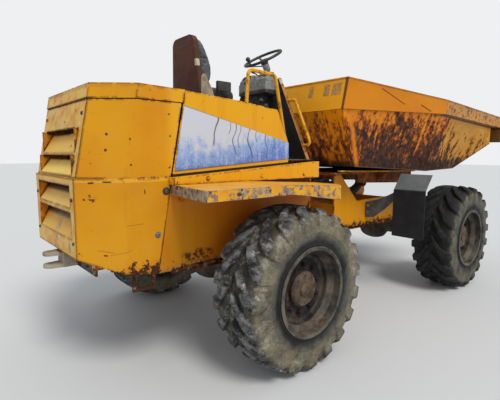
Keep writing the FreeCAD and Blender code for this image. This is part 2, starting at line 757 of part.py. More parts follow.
def make_guard():
    body = new_body("front_guard")
    face = d.guard_face
    t = d.sheet
    low = d.floor_height
    wide = d.guard_low_half
    narrow = d.guard_top_half
    top = d.guard_top
    add(body, "YZ", upright([(wide, low), (narrow, top)]), face - t, face)
    add(body, "YZ", [(-wide, low), (-narrow, top), (-narrow + t, top), (-wide + t * 1.1, low)], face - 40,
        face)
    add(body, "YZ", [(wide, low), (narrow, top), (narrow - t, top), (wide - t * 1.1, low)], face - 40, face)
    return body


def make_dash():
    body = new_body("dash_box")
    front = d.guard_face - d.sheet
    back = front - d.dash_depth
    top = WHEEL_HEIGHT - d.wheel_rise
    low = top - d.dash_height
    add(body, "XZ", [(front, low), (front, top), (back, top), (back, low + 20)], -d.dash_half, d.dash_half)
    foot = d.floor_height + d.shroud_foot
    add(body, "XZ", box(front - d.shroud_depth, front, foot, low + 25), -d.shroud_half, d.shroud_half)
    return body


def axis_of_wheel():
    tilt = math.radians(d.wheel_tilt.value)
    return Vector(-math.sin(tilt), 0, math.cos(tilt))


def make_column():
    axis = axis_of_wheel()
    centre = Vector(d.wheel_centre.value, 0, WHEEL_HEIGHT.value)
    head = centre - axis * 58
    foot = Vector(d.guard_face.value - 56, 0, (WHEEL_HEIGHT - d.wheel_rise + d.side_gap).value)
    knee = centre - axis * 112
    shape = rod(head, knee, 34).fuse(rod(knee, foot + Vector(4, 0, 12), 19)).fuse(Part.makeSphere(34, knee))
    shape = shape.fuse(rod(foot, foot + Vector(0, 0, 16), 30)).fuse(rod(head, centre - axis * 40, 11))
    stalk = rod(head + Vector(0, 0, -20), head + Vector(-60, 150, -10), 6)
    return from_code("steering_column", shape.fuse(stalk).removeSplitter())


def make_steering_wheel():
    axis = axis_of_wheel()
    centre = Vector(d.wheel_centre.value, 0, WHEEL_HEIGHT.value)
    radius = d.wheel_radius.value
    ring = Part.makeTorus(radius - d.wheel_grip.value, d.wheel_grip.value, centre, axis)
    hub_low = centre - axis * 52
    shape = ring.fuse(Part.makeCylinder(38, 40, hub_low, axis))
    shape = shape.cut(Part.makeCylinder(11 + d.fit.value, 30, centre - axis * 60, axis))
    side = Vector(0, 1, 0)
    ahead = side.cross(axis)
    for turn in (30, 150, 270):
        angle = math.radians(turn)
        way = side * math.cos(angle) + ahead * math.sin(angle)
        shape = shape.fuse(rod(centre - axis * 30, centre + way * (radius - d.wheel_grip.value), 9))
    knob = centre - ahead * (radius - d.wheel_grip.value)
    ball = Part.makeSphere(d.knob_radius.value, knob + axis * 62)
    shape = shape.fuse(rod(knob, knob + axis * 62, 12)).fuse(ball)
    return from_code("steering_wheel", shape.removeSplitter())


def make_seat():
    half = d.seat_width / 2
    rear = -d.seat_back_x
    base = new_body("seat_base")
    low = CUSHION_TOP - d.cushion_thick
    back_foot = rear + 90
    front_foot = rear + 30 + d.cushion_length
    add(base, "XZ", [(back_foot, deck_at(back_foot)), (back_foot, low - 25), (front_foot, low - 25),
                     (front_foot - 20, deck_at(front_foot - 20))], -half + 60, half - 60)
    add(base, "XZ", box(rear + 40, rear + 40 + d.cushion_length, low - 25, low), -half, half)
    foot = CUSHION_TOP - d.cushion_thick / 2
    lean = d.seat_lean
    shell = d.shell_thick
    add(base, "XZ", box(rear + lean, rear + lean + shell, low - 25, foot), -half + 40, half - 40)
    top = SEAT_TOP
    add(base, "XZ", [(rear + lean, foot), (rear, top), (rear + shell, top), (rear + lean + shell, foot)],
        -half, half)
    crown(base, foot, half)
    cushion = new_body("seat_cushion")
    near = rear + lean + shell
    far = rear + 40 + d.cushion_length
    add(cushion, "XZ", [(near + 8, low), (near + 8, CUSHION_TOP - 10), (far - 30, CUSHION_TOP),
                        (far, CUSHION_TOP - 30), (far - 10, low)], -half + 6, half - 6)
    back = new_body("seat_back")
    full = d.back_thick
    rows = ((CUSHION_TOP + 8, 0.75), (between(foot, top, 0.3), 0.95), (between(foot, top, 0.8), 0.7),
            (top - 12, 0.35))
    face = []
    for height, share in rows:
        against = rear + shell + lean * ((top - height) / (top - foot)) + d.side_gap
        face.insert(0, (against, height))
        face.append((against + full * share, height))
    add(back, "XZ", face, -half + 6, half - 6)
    crown(back, foot, half - 6)
    return base, cushion, back


def crown(body, foot, half):
    """Draws the backrest in towards its top and rounds the two corners there, seen from behind."""
    r = d.seat_corner
    high = SEAT_TOP
    narrow = d.seat_top_half
    rim = [(-half, foot + 60), (-narrow, high - r), (-narrow + r * 0.29, high - r * 0.29, "bend"),
           (-narrow + r, high), (-narrow + r, high + 20), (-half - 20, high + 20), (-half - 20, foot + 60)]
    corner = cut(body, "YZ", rim, -d.seat_back_x - 50, -d.seat_back_x + 300)
    return mirror(body, [corner])


def make_rails():
    radius = d.rail_radius.value
    side = (d.panel_half - d.sheet).value - radius - 0.3
    deck = d.deck_height.value
    end = d.panel_end.value
    low = d.floor_height.value
    slope = (d.guard_low_half - d.guard_top_half).value / (d.guard_top - d.floor_height).value
    shapes = []
    for sign in (-1, 1):
        y = sign * side
        upper = [(-110, y, deck_at(size(-110)).value + 0.6), (-90, y, deck + 235), (190, y, deck + 225),
                 (end - 35, y, deck - 235)]
        shapes.append(tube(upper, radius, 45))
        x = d.guard_face.value - 20
        ends = []
        for height in (low + 125, low + 535):
            edge = d.guard_low_half.value - slope * (height - low)
            ends.append((edge + radius * slope + 0.4, edge + d.rail_stand.value, height))
        (near_low, out_low, z_low), (near_high, out_high, z_high) = ends
        lower = [(x, sign * near_low, z_low), (x, sign * out_low, z_low), (x, sign * out_high, z_high),
                 (x, sign * near_high, z_high)]
        shapes.append(tube(lower, radius, 30))
    return from_code("grab_rails", Part.makeCompound(shapes))


def make_controls():
    shapes = []
    floor = d.floor_height.value
    spread = d.lever_step.value
    levers = (
        # steps ahead of the first lever, share of its height
        (0, 1),
        (0, 0.9),
        (1, 0.75),
    )
    for i, (ahead, share) in enumerate(levers):
        x = d.lever_x.value + ahead * spread
        y = -d.lever_side.value - i * spread
        foot = (x, y, floor + 1.5)
        head = (x - spread, y, floor + d.lever_height.value * share)
        knob = Part.makeSphere(d.knob_radius.value, Vector(*head))
        shapes.append(rod(foot, head, d.lever_radius.value).fuse(knob))
    x = d.pedal_x.value
    wide = d.pedal_width.value
    low = floor + d.pedal_rise.value
    for y in (-d.pedal_side.value, d.pedal_side.value):
        arm = rod((x + 65, y, floor + 2.9), (x + 25, y, low + 30), 10)
        pad = Part.makeBox(d.pedal_thick.value, wide, d.pedal_length.value, Vector(x, y - wide / 2, low))
        shapes.append(arm.fuse(pad))
    return from_code("control_levers", Part.makeCompound(shapes))


# Rear chassis

def make_rear_frame():
    body = new_body("rear_frame")
    top = d.step_height - d.sheet
    front = d.guard_face
    t = d.plate
    tail_half = d.housing_half - d.sheet - d.side_gap
    half = d.overall_width / 2 - d.tyre_width - d.arch_gap
    joint = -d.split
    rear = joint - d.split_run
    low = d.arch_height
    tail = [(joint + t * 2, d.skirt_height), (rear, d.skirt_height), (rear - 190, d.skirt_height + 80),
            (rear - 190, top - 60), (rear, top), (joint + t * 2, top)]
    arch = [(joint, d.skirt_height + 10), (joint, top), (-d.step_bend, top), (front, top - d.step_droop),
            (front, d.arch_front), (front * 0.656, low + 60), (front / 2, low + 10), (joint * 0.4, low)]
    saddle_top = d.tyre_radius + d.axle_radius + d.side_gap
    wide = d.saddle_half
    saddle = [(-wide, d.rail_low), (-wide + 40, saddle_top), (wide - 40, saddle_top), (wide, d.rail_low)]
    x = -d.loop_x
    run = d.loop_half
    bar = d.loop_bar
    low_loop = low + 10 - d.loop_drop
    loop = [(x - run, low + 10), (x - run, low_loop), (x + run, low_loop), (x + run, low + 10),
            (x + run - bar, low + 10),
            (x + run - bar, low_loop + bar), (x - run + bar, low_loop + bar), (x - run + bar, low + 10)]
    features = [
        add(body, "XZ", tail, -tail_half, -tail_half + t),
        add(body, "XZ", arch, -half, -half + t),
        add(body, "XZ", box(-d.frame_tail, front, d.rail_low, d.rail_high), -d.rail_half,
            -d.rail_half + t * 2),
        add(body, "XZ", saddle, -d.rail_half, -d.rail_half + 90),
        disc(body, "YZ", (-half + d.skid_radius, d.skirt_height - 8), d.skid_radius, joint + 5, joint * 0.4),
        add(body, "XZ", loop, -tail_half + 39, -tail_half + 39 + bar),
        add(body, "XZ", box(x - run, x + run, low, low + 60), -tail_half, -tail_half + 64),
    ]
    for x in (joint + 65, -d.step_bend - 30):
        arm = [(-half, top), (-half - d.step_arm, top), (-half - d.step_arm, top - 25), (-half, top - 115)]
        features.append(add(body, "YZ", arm, x, x + t))
    mirror(body, features)
    inner = half - t
    add(body, "XZ", box(front - t, front, d.rail_low, top), -inner, inner)
    add(body, "XZ", box(-d.frame_tail, -d.frame_tail + t, d.rail_low - 40, d.rail_high), -d.rail_half,
        d.rail_half)
    add(body, "XZ", box(joint, joint + 60, d.rail_low - 40, d.rail_low + 12), -tail_half + t / 2,
        tail_half - t / 2)
    for low in (d.tongue_low, d.tongue_high - d.tongue_thick):
        r = d.tongue_radius
        x = d.kingpin_x
        outline = [(front, -300), (x - 40, -r), (x, -r), (x + r, 0, "bend"), (x, r), (x - 40, r),
                   (front, 300)]
        add(body, "XY", outline, low, low + d.tongue_thick, circles=[(x, 0, d.kingpin_radius + d.fit)])
    web = [(front, d.tongue_low), (front, d.rail_low + 5), (front - t, d.rail_low + 5),
           (front - t, d.tongue_low)]
    add(body, "XZ", web, -300, 300)
    y = -d.steer_foot_y
    for low in (d.roll_height - 40, d.roll_height + 24):
        lug = [(front, y - 45), (d.steer_foot_x, y - 30), (d.steer_foot_x + 30, y, "bend"),
               (d.steer_foot_x, y + 30), (front, y + 45)]
        add(body, "XY", lug, low, low + d.ram_lug)
    disc(body, "XY", (d.steer_foot_x, y), d.steer_pin, d.roll_height - 45, d.roll_height + 45)
    return body


def make_axle(name, x):
    body = new_body(name, x=x, z=d.tyre_radius)
    outer = d.overall_width / 2
    drum = outer - d.dish_depth - d.hub_length
    r = d.axle_radius
    half = d.bowl_width / 2
    profile = [(-drum + d.play, 0), (-drum + d.play, r + 42), (-drum + 45, r + 42), (-drum + 60, r),
               (-half - 70, r),
               (-half, d.bowl_radius * 0.86), (0, d.bowl_radius, "bend"), (half, d.bowl_radius * 0.86),
               (half + 70, r),
               (drum - 60, r), (drum - 45, r + 42), (drum - d.play, r + 42), (drum - d.play, 0)]
    spin(body, "YZ", profile)
    for sign in (-1, 1):
        low = drum - d.play - 1
        high = outer - d.dish_depth - 40
        if sign < 0:
            low, high = -high, -low
        disc(body, "XZ", (0, 0), d.spindle_radius, low, high)
    return body


def make_engine():
    engine = new_body("engine_block")
    rear = -d.engine_rear
    front = -d.engine_front
    low = d.rail_high - 120
    top = d.engine_top
    half = d.engine_half
    outline = [(rear, low), (rear, top - 110), (rear + 90, top), (front - 60, top), (front, top - 160),
               (front, low)]
    add(engine, "XZ", outline, -half, half)
    inside = d.rail_half - d.plate * 2
    for x in (rear + 130, front - 130):
        mount = box(x - 40, x + 40, d.rail_high - 60, d.rail_high - 20)
        add(engine, "XZ", mount, -inside, -half)
        add(engine, "XZ", mount, half, inside)
    radiator = new_body("radiator")
    x = -d.radiator_x
    add(radiator, "XZ", box(x, x + d.radiator_thick, d.rail_high + 8, d.radiator_top), -d.radiator_half,
        d.radiator_half)
    add(radiator, "XZ", box(x - 10, x + d.radiator_thick + 10, d.rail_high, d.rail_high + 8), -d.rail_half,
        d.rail_half)
    return engine, radiator


def make_hitch():
    body = new_body("tow_hitch")
    tip = -d.tail_reach
    top = d.hitch_height
    r = d.hitch_end
    root = -d.frame_tail
    jaw = [(root, -r * 1.5), (tip + r, -r), (tip, 0, "bend"), (tip + r, r), (root, r * 1.5)]
    for high in (top, top - d.hitch_jaw - d.hitch_gap):
        add(body, "XY", jaw, high - d.hitch_jaw, high, circles=[(tip + r, 0, d.hitch_pin)])
    add(body, "XZ", box(root - r * 1.8, root, top - d.hitch_jaw * 2 - d.hitch_gap, top), -r * 1.4, r * 1.4)
    return body


# Centre pivot

def make_pivot():
    body = new_body("pivot_block")
    x = d.kingpin_x
    low = d.tongue_low + d.tongue_thick + d.play
    high = d.tongue_high - d.tongue_thick - d.play
    disc(body, "XY", (x, 0), d.kingpin_radius, d.tongue_low - 25, d.tongue_high + 25)
    disc(body, "XY", (x, 0), 80, low, high)
    disc(body, "XY", (x, 0), 72, d.tongue_high + d.play, d.tongue_high + 30)
    disc(body, "XY", (x, 0), 72, d.tongue_low - 30, d.tongue_low - d.play)
    add(body, "XZ", box(x, x + 130, d.roll_height - 100, d.roll_height + 100), -80, 80)
    disc(body, "YZ", (0, d.roll_height), d.roll_radius, x + 100, d.frame_rear + 230)
    disc(body, "YZ", (0, d.roll_height), d.roll_radius + 35, d.frame_rear + 190 + d.play, d.frame_rear + 230)
    ex = d.steer_eye_x
    ey = -d.steer_eye_y
    for low in (d.roll_height - 38, d.roll_height + 22):
        arm = [(x - 40, -60), (ex - 34, ey), (ex, ey - 34, "bend"), (ex + 34, ey), (x + 90, -60)]
        add(body, "XY", arm, low, low + d.ram_lug)
        cap_low = d.roll_height - 50 if low.value < d.roll_height.value else d.roll_height + 38
        disc(body, "XY", (ex, ey), 22, cap_low, cap_low + 12)
    return body


# Front chassis

def make_front_frame():
    body = new_body("front_frame")
    t = d.plate
    half = d.frame_half
    rear = d.frame_rear
    tip = d.tip_x
    high = TIP_HEIGHT
    boss = d.tip_boss
    low = d.plate_low
    post = d.post_foot
    knee = d.plate_knee
    outline = [(rear, d.post_height), (d.post_back, d.post_height), (post, d.plate_top),
               (knee, d.plate_top + 8),
               (tip - boss * 2.4, high - 80), (tip - boss, high), (tip, high + boss, "bend"),
               (tip + boss, high),
               (tip + boss * 1.6, high - 170), (tip - boss / 2, low + 50), (knee - 10, low),
               (post + 37, low + 42), (rear + 250, low + 48), (rear + 27, low + 181)]
    pan = low + 10
    ear = d.ram_lug_gap / 2
    foot = d.ram_foot_x
    features = [
        add(body, "XZ", outline, -half, -half + t, circles=[(tip, high, d.tip_pin - 1)]),
        disc(body, "XZ", (tip, high), d.tip_pin, -half - 12, -d.skip_rail_half + 30),
        disc(body, "XZ", (tip, high), d.tip_pin * 1.76, -half - 12, -half),
        add(body, "XZ", [(foot - 60, pan + 5), (foot - 45, d.ram_foot_z), (foot, d.ram_foot_z + 42, "bend"),
                         (foot + 45, d.ram_foot_z), (foot + 60, pan + 5)], -ear - d.ram_lug, -ear),
        add(body, "XZ", box(d.wheel_base - d.saddle_half, d.wheel_base + d.saddle_half,
                            d.tyre_radius + d.axle_radius + d.side_gap, low + 40), -half, -half + 90),
    ]
    mirror(body, features)
    inner = half - t
    bore = [(0, d.roll_height, d.roll_radius + d.fit)]
    thick = d.bulkhead
    for x in (rear + thick * 2, rear + 100 + thick * 2):
        add(body, "YZ", box(-inner, inner, low + 110, d.plate_top - 10), x, x + thick, circles=bore)
    add(body, "XZ", box(rear + 10, d.post_back - 5, d.post_height - 16, d.post_height), -half - 20, half + 20)
    add(body, "XZ", box(rear + 250, knee + 80, pan, pan + 12), -inner, inner)
    disc(body, "XZ", (foot, d.ram_foot_z), d.ram_pin, -ear - d.ram_lug - 10, ear + d.ram_lug + 10)
    disc(body, "XZ", (tip + 20, low + 210), 45, -inner, inner)
    add(body, "YZ", box(-inner, inner, low + 70, d.plate_top - 22), knee + 60, knee + 60 + t)
    return body


def make_mudguards():
    """Grey plates over the front wheels' rear side, each on a tapered arm, with a rubber flap."""
    half = d.frame_half
    x = d.flap_x
    guards = new_body("mudguard_plates")
    t = d.sheet
    top = d.flap_high
    run = d.guard_run
    rise = d.guard_rise
    profile = [(x, top - d.guard_lip), (x, top), (x + run, top + rise), (x + run + t, top + rise - 4),
               (x + t, top - 2), (x + t, top - d.guard_lip)]
    reach = d.flap_in + 60 - half
    low = top - d.guard_lip - d.arm_rise - d.arm_depth
    arm = [(-half, low), (-half - reach * 0.27, low + 13), (-half - reach * 0.6, low + 120),
           (-half - reach, top - 62),
           (-half - reach, top - 4), (-half - reach * 0.6, top - 95), (-half - reach * 0.4, top - 130),
           (-half, low + d.arm_depth)]
    plate = add(guards, "XZ", profile, -d.flap_out, -d.flap_in)
    bracket = add(guards, "YZ", arm, x + t, x + t + 10)
    mirror(guards, [plate, bracket])
    flaps = new_body("mudflaps")
    flap = add(flaps, "YZ", box(-d.flap_out, -d.flap_in, d.flap_low, top - 8), x - d.flap_thick, x)
    mirror(flaps, [flap])
    return guards, flaps


# Skip

def skip_stations(w):
    """Corners of the skip's half outline from the rear to its mouth, drawn in by w, as (x, half width, height).

    Each row runs from the rim down: rim, foot of the band, top of the belly, foot of the belly.
    """
    v = {row[0]: getattr(d, row[0]).value for row in SIZES}
    floor = SKIP_FLOOR.value

    def row(x, half, high, band, ledge, foot):
        low = high - band + w
        out = half - v["band_flare"] - w
        return [(x, half - w, high), (x, out, low), (x, out - ledge, low), foot]

    rear_foot = (v["belly_rear_x"] + w * 1.3, v["belly_rear_half"] - w,
                 floor + v["belly_rear_rise"] + w * 0.4)
    rear = row(v["rim_rear_x"], v["rim_rear_half"], v["rim_rear_height"], v["band_rear"], v["ledge_rear"],
               rear_foot)
    rear = rear_wall(rear, w, v["band_lean"], v["ledge_rear"])
    bend = row(v["rim_bend_x"], v["rim_bend_half"], v["rim_bend_height"], v["band_bend"], v["ledge_bend"],
               (v["belly_bend_x"], v["belly_bend_half"] - w, floor + w))
    stations = [rear, bend]
    end = v["rim_front_x"]
    # The belly's top keeps its distance from the band up to the cheek, and goes in to the mouth after it.
    feet = ((v["belly_front_x"], v["belly_front_half"] - w, floor + v["belly_front_rise"] + w),
            (v["cheek_x"], v["cheek_half"] - w, v["cheek_height"] + w * 1.25),
            (end, v["mouth_half"] - w, v["mouth_rear"] + w * 1.25))
    for foot in feet:
        share = (foot[0] - v["rim_bend_x"]) / (end - v["rim_bend_x"])
        half = between(v["rim_bend_half"], v["rim_front_half"], share)
        high = between(v["rim_bend_height"], v["rim_front_height"], share)
        band = between(v["band_bend"], v["band_front"], share)
        ledge = between(v["ledge_bend"], v["ledge_front"], share)
        stations.append(row(foot[0], half, high, band, ledge, foot))
    x, _, low = stations[-1][2]
    stations[-1][2] = (x, v["mouth_half"] - w, low)
    return stations


def rear_wall(corners, w, lean, ledge):
    """Leans the rear row of corners: the band's foot stands behind the rim, and the belly's top ahead of it."""
    (x, half, high), (_, out, low), (_, neck, _), foot = corners
    return [(x + w, half, high), (x + w - lean, out, low), (x + w - lean + ledge, neck, low), foot]


def skip_form(stations):
    """The closed form through these stations, with flat sides."""
    right = [[Vector(x, -y, z) for x, y, z in corners] for corners in stations]
    left = [[Vector(x, y, z) for x, y, z in corners] for corners in stations]
    faces = []
    for side in (right, left):
        for a, b in zip(side, side[1:]):
            for i in range(3):
                faces.append([a[i], b[i], b[i + 1]])
                faces.append([a[i], b[i + 1], a[i + 1]])
    for end in (0, -1):
        for i in range(3):
            faces.append([right[end][i], right[end][i + 1], left[end][i + 1], left[end][i]])
    for i in range(len(stations) - 1):
        for row in (0, 3):
            faces.append([right[i][row], right[i + 1][row], left[i + 1][row], left[i][row]])
    return solid_of(faces)


def lip_box(inset, low, front_high, rear_high, half, inner=0):
    """A block across the skip's mouth between two heights at its front and rear, smaller by inset."""
    near = d.rim_front_x.value + inset
    far = d.lip_reach.value - inset
    corners = [(near, low), (far, low), (far, front_high), (near, rear_high)]
    face = Part.Face(Part.makePolygon([Vector(x, inner, z) for x, z in corners + corners[:1]]))
    return face.extrude(Vector(0, half - inner, 0))


def make_skip():
    wall = d.skip_wall.value
    outside = skip_form(skip_stations(0))
    half = d.rim_front_half.value
    high = d.rim_front_height.value
    low = d.lip_low.value
    outside = outside.fuse(lip_box(0, low, d.lip_end.value, high, half, -half))
    inside = skip_stations(wall)
    spare = 400
    for corners in inside:
        (x, half_width, top), (band_x, band_half, foot) = corners[:2]
        grow = spare / (top - foot)
        corners[0] = (x + (x - band_x) * grow, half_width + (half_width - band_half) * grow, top + spare)
    drop = (d.mouth_front - d.mouth_rear).value
    beyond = 60
    fall = drop * (1 + beyond / (d.lip_reach - d.rim_front_x).value)
    x = d.lip_reach.value + beyond
    inside.append([(x, y, z if i < 3 else z + fall) for i, (_, y, z) in enumerate(inside[-1])])
    shell = outside.cut(skip_form(inside))
    rear_under = d.mouth_rear.value
    front_under = d.mouth_front.value
    under = (low - 1, front_under, rear_under)
    mouth = d.mouth_half.value
    shell = shell.cut(lip_box(wall, *under, mouth, -mouth))
    ledge = high - d.band_front.value
    for side in (-1, 1):
        shell = shell.cut(lip_box(wall, low - 1, ledge, ledge, side * (half - wall), side * (mouth + 1)))
        shell = shell.cut(lip_box(wall, low - 1, front_under, rear_under, side * (mouth + 2),
                                  side * (mouth - 1)))
    return from_code("skip_shell", shell.removeSplitter())


def make_skip_frame():
    body = new_body("skip_frame")
    t = d.plate
    top = SKIP_FLOOR - d.side_gap
    half = d.skip_rail_half
    tip = d.tip_x
    high = TIP_HEIGHT
    tray = d.post_height + d.play
    add(body, "XY", box(d.tray_rear, d.tray_front, -d.tray_half, d.tray_half), tray, top)
    boss = d.beam_boss
    start = d.skip_beam_start
    end = d.tray_front
    low = tray - d.beam_depth
    rail = [(start, tray), (start + 60, low), (end, low - 35), (tip - boss, high - 10),
            (tip, high - boss, "bend"),
            (tip + boss, high), (tip + boss, top), (end - 50, top), (end - 50, tray)]
    ear = d.ram_lug_gap / 2
    x = d.ram_eye_x
    z = d.post_height - d.ram_eye_z
    features = [
        add(body, "XZ", rail, -half, -half + t * 2, circles=[(tip, high, d.tip_pin + d.fit)]),
        add(body, "YZ", [(-d.tray_half + 20, tray), (-half, tray), (-half, low)], start + 410,
            start + 410 + t),
        add(body, "XZ", [(x - 70, tray), (x - 45, z), (x, z - 45, "bend"), (x + 45, z), (x + 70, tray)],
            -ear - d.ram_lug, -ear),
        disc(body, "XZ", (x, z), d.ram_pin + 10, -ear - d.ram_lug - 14, -ear - d.ram_lug),
    ]
    mirror(body, features)
    return body


# Rams

def make_ram(prefix, foot, eye, radius, rod_radius, pin, thick, gap, retract, side):
    """A hydraulic ram as two sub-parts, barrel and rod, on the line between two pins.

    The rod can slip a further length, retract, into its barrel from here. Its pin ends at the lugs' faces.
    """
    foot = Vector(*foot)
    eye = Vector(*eye)
    run = eye - foot
    way = run * (1 / run.Length)
    fit = d.fit.value
    gland = foot + way * (run.Length - retract - pin * 1.9 - 20)
    barrel = rod(foot, gland, radius)
    ring = Part.makeCylinder(pin * 2, thick, foot - side * (thick / 2), side)
    bore = Part.makeCylinder(pin + fit, thick * 4, foot - side * (thick * 2), side)
    inside = Part.makeCylinder(rod_radius + fit, run.Length, foot + way * pin * 3.6, way)
    barrel = barrel.cut(Part.makeCylinder(pin * 2.9, radius * 4, foot - side * (radius * 2), side))
    barrel = barrel.fuse(rod(foot, foot + way * pin * 3.4, thick * 0.45)).fuse(ring).cut(bore).cut(inside)
    eye_ring = Part.makeCylinder(pin * 1.9, thick, eye - side * (thick / 2), side)
    eye_pin = Part.makeCylinder(pin, gap, eye - side * (gap / 2), side)
    bar = rod(foot + way * (pin * 3.8 + retract), eye - way * pin, rod_radius)
    from_code(prefix + "_barrel", barrel)
    from_code(prefix + "_rod", bar.fuse(eye_ring).fuse(eye_pin))


def make_rams():
    slack = 2 * d.side_gap.value
    eye = (d.ram_eye_x.value, 0, (d.post_height - d.ram_eye_z).value)
    make_ram("tip", (d.ram_foot_x.value, 0, d.ram_foot_z.value), eye, d.ram_radius.value, d.ram_rod.value,
             d.ram_pin.value, d.ram_ear.value, d.ram_lug_gap.value - slack, 0, Vector(0, 1, 0))
    height = d.roll_height.value
    make_ram("steer", (d.steer_foot_x.value, -d.steer_foot_y.value, height),
             (d.steer_eye_x.value, -d.steer_eye_y.value, height),
             d.steer_radius.value, d.steer_rod.value, d.steer_pin.value, d.steer_ear.value,
             d.steer_lug_gap.value - slack, d.steer_retract.value, Vector(0, 0, 1))


# Wheels

def make_rim(name, x):
    """The rim and its disc, in the wheel's own frame: the outer edge is on the machine's right."""
    body = new_body(name, x=x, z=d.tyre_radius)
    outer = -d.overall_width / 2 + 6
    inner = outer + d.tyre_width - 12
    edge = d.rim_radius
    seat = d.bead_radius
    t = d.rim_wall
    face = -d.overall_width / 2 + d.dish_depth
    well = seat - 38
    profile = [(outer, edge), (outer + 12, edge), (outer + 12, seat), (outer + 60, seat), (outer + 90, well),
               (inner - 60, well), (inner - 40, seat), (inner - 12, seat), (inner - 12, edge), (inner, edge),
               (inner, seat - t), (inner - 40, seat - t), (inner - 66, well - t), (face + 26, well - t),
               (face + 26, d.spindle_radius + d.fit + 20),
               (face + d.hub_length, d.spindle_radius + d.fit + 40),
               (face + d.hub_length, d.spindle_radius + d.fit), (face + 22, d.spindle_radius + d.fit),
               (face + 22, 0),
               (face - 30, 0), (face - 30, d.hub_radius - 14), (face - 16, d.hub_radius),
               (face + 12, d.hub_radius),
               (face + 12, well - t), (outer + 96, well - t), (outer + 56, seat - t), (outer, seat - t)]
    spin(body, "YZ", profile)
    return body


def half_tyre(side):
    """Rings of corners over one half of a tyre, from its bead to the nose of the lugs, as lists of points.

    A ring has two corners for each lug on the smooth part, and four where the lug stands up: foot, tip, tip, foot.
    On the machine's right side is -1, and the two halves' lugs are half a pitch apart.
    """
    pitch = 2 * math.pi / LUGS
    outer = -d.overall_width.value / 2
    width = d.tyre_width.value
    tip = d.tyre_radius.value
    carcass = tip - d.tread_depth.value
    bead = d.bead_radius.value / math.cos(pitch / 4)
    # One lug's nose lies flat on the ground.
    start = math.radians(-69.7) + (0 if side < 0 else pitch / 2)

    def corner(y, turn, radius):
        angle = start + math.radians(turn)
        return Vector(radius * math.cos(angle), outer + (y if side < 0 else width - y),
                      radius * math.sin(angle))

    smooth = (
        # in from the sidewall at the lug and beside it, radius
        (d.bead_width.value, d.bead_width.value, bead),
        (0, 0, d.bead_radius.value + d.wall_height.value),
        (4, 10, tip - d.shoulder_drop.value * 1.5),
    )
    raised = (
        # in from the sidewall at foot and tip, radius at foot and tip, turn of the two feet and of the two tips
        (16, 16, tip - d.shoulder_drop.value, tip - 28, -4.6, 4.6, -3.4, 3.4),
        (d.lug_reach.value, d.lug_reach.value, carcass, tip - 2, -10.4, -1.6, -9.2, -2.8),
        (width / 2 - 40, width / 2 - 20, carcass, tip / math.cos(math.radians(1.7)), -21.7, -13.7, -22,
         -18.6),
    )
    step = math.degrees(pitch)
    rings = []
    for at_lug, beside, radius in smooth:
        rings.append([corner(y, k * step + turn, radius) for k in range(LUGS)
                      for y, turn in ((at_lug, 0), (beside, step / 2))])
    for foot_y, tip_y, foot, top, foot_on, foot_off, tip_on, tip_off in raised:
        rings.append([corner(y, k * step + turn, radius) for k in range(LUGS) for y, turn, radius in
                      ((foot_y, foot_on, foot), (tip_y, tip_on, top), (tip_y, tip_off, top),
                       (foot_y, foot_off, foot))])
    nose = [corner(width / 2 + 12, k * step - 24.5, carcass) for k in range(LUGS)]
    return rings, nose


def strip(one, two):
    """Triangles between two rings of as many corners."""
    faces = []
    for i in range(len(one)):
        j = (i + 1) % len(one)
        faces.append([one[i], one[j], two[j]])
        faces.append([one[i], two[j], two[i]])
    return faces


def fan(pairs, fours):
    """Triangles between a ring with two corners for each lug and one with four."""
    faces = []
    for k in range(LUGS):
        at_lug, beside, following = pairs[2 * k], pairs[2 * k + 1], pairs[(2 * k + 2) % len(pairs)]
        foot, tip, other_tip, other_foot = fours[4 * k:4 * k + 4]
        next_foot = fours[(4 * k + 4) % len(fours)]
        faces += [[at_lug, foot, tip], [at_lug, tip, other_tip], [at_lug, other_tip, other_foot],
                  [at_lug, other_foot, beside], [beside, other_foot, next_foot],
                  [beside, next_foot, following]]
    return faces


def make_tyre(name, x):
    """A tyre in flat facets with a row of swept lugs on each half."""
    right, right_nose = half_tyre(-1)
    left, left_nose = half_tyre(1)
    # Both halves share the ring of noses along the middle of the tread.
    middle = [corner for k in range(LUGS) for corner in (right_nose[k], left_nose[k])]
    shifted = middle[1:] + middle[:1]
    faces = []
    for rings, noses in ((right, middle), (left, shifted)):
        faces += strip(rings[0], rings[1]) + strip(rings[1], rings[2]) + fan(rings[2], rings[3])
        faces += strip(rings[3], rings[4]) + strip(rings[4], rings[5]) + fan(noses, rings[5])
    bore = right[0][1:] + right[0][:1]
    for i in range(len(bore)):
        j = (i + 1) % len(bore)
        faces.append([bore[i], bore[j], left[0][j], left[0][i]])
    return from_code(name, solid_of(faces), x=x, z=d.tyre_radius)


def make_wheels():
    for end, x in (("rear", size(0)), ("front", d.wheel_base)):
        tyre = make_tyre(f"tyre_{end}_right", x)
        rim = make_rim(f"rim_{end}_right", x)
        other_side(tyre, f"tyre_{end}_left")
        other_side(rim, f"rim_{end}_left")


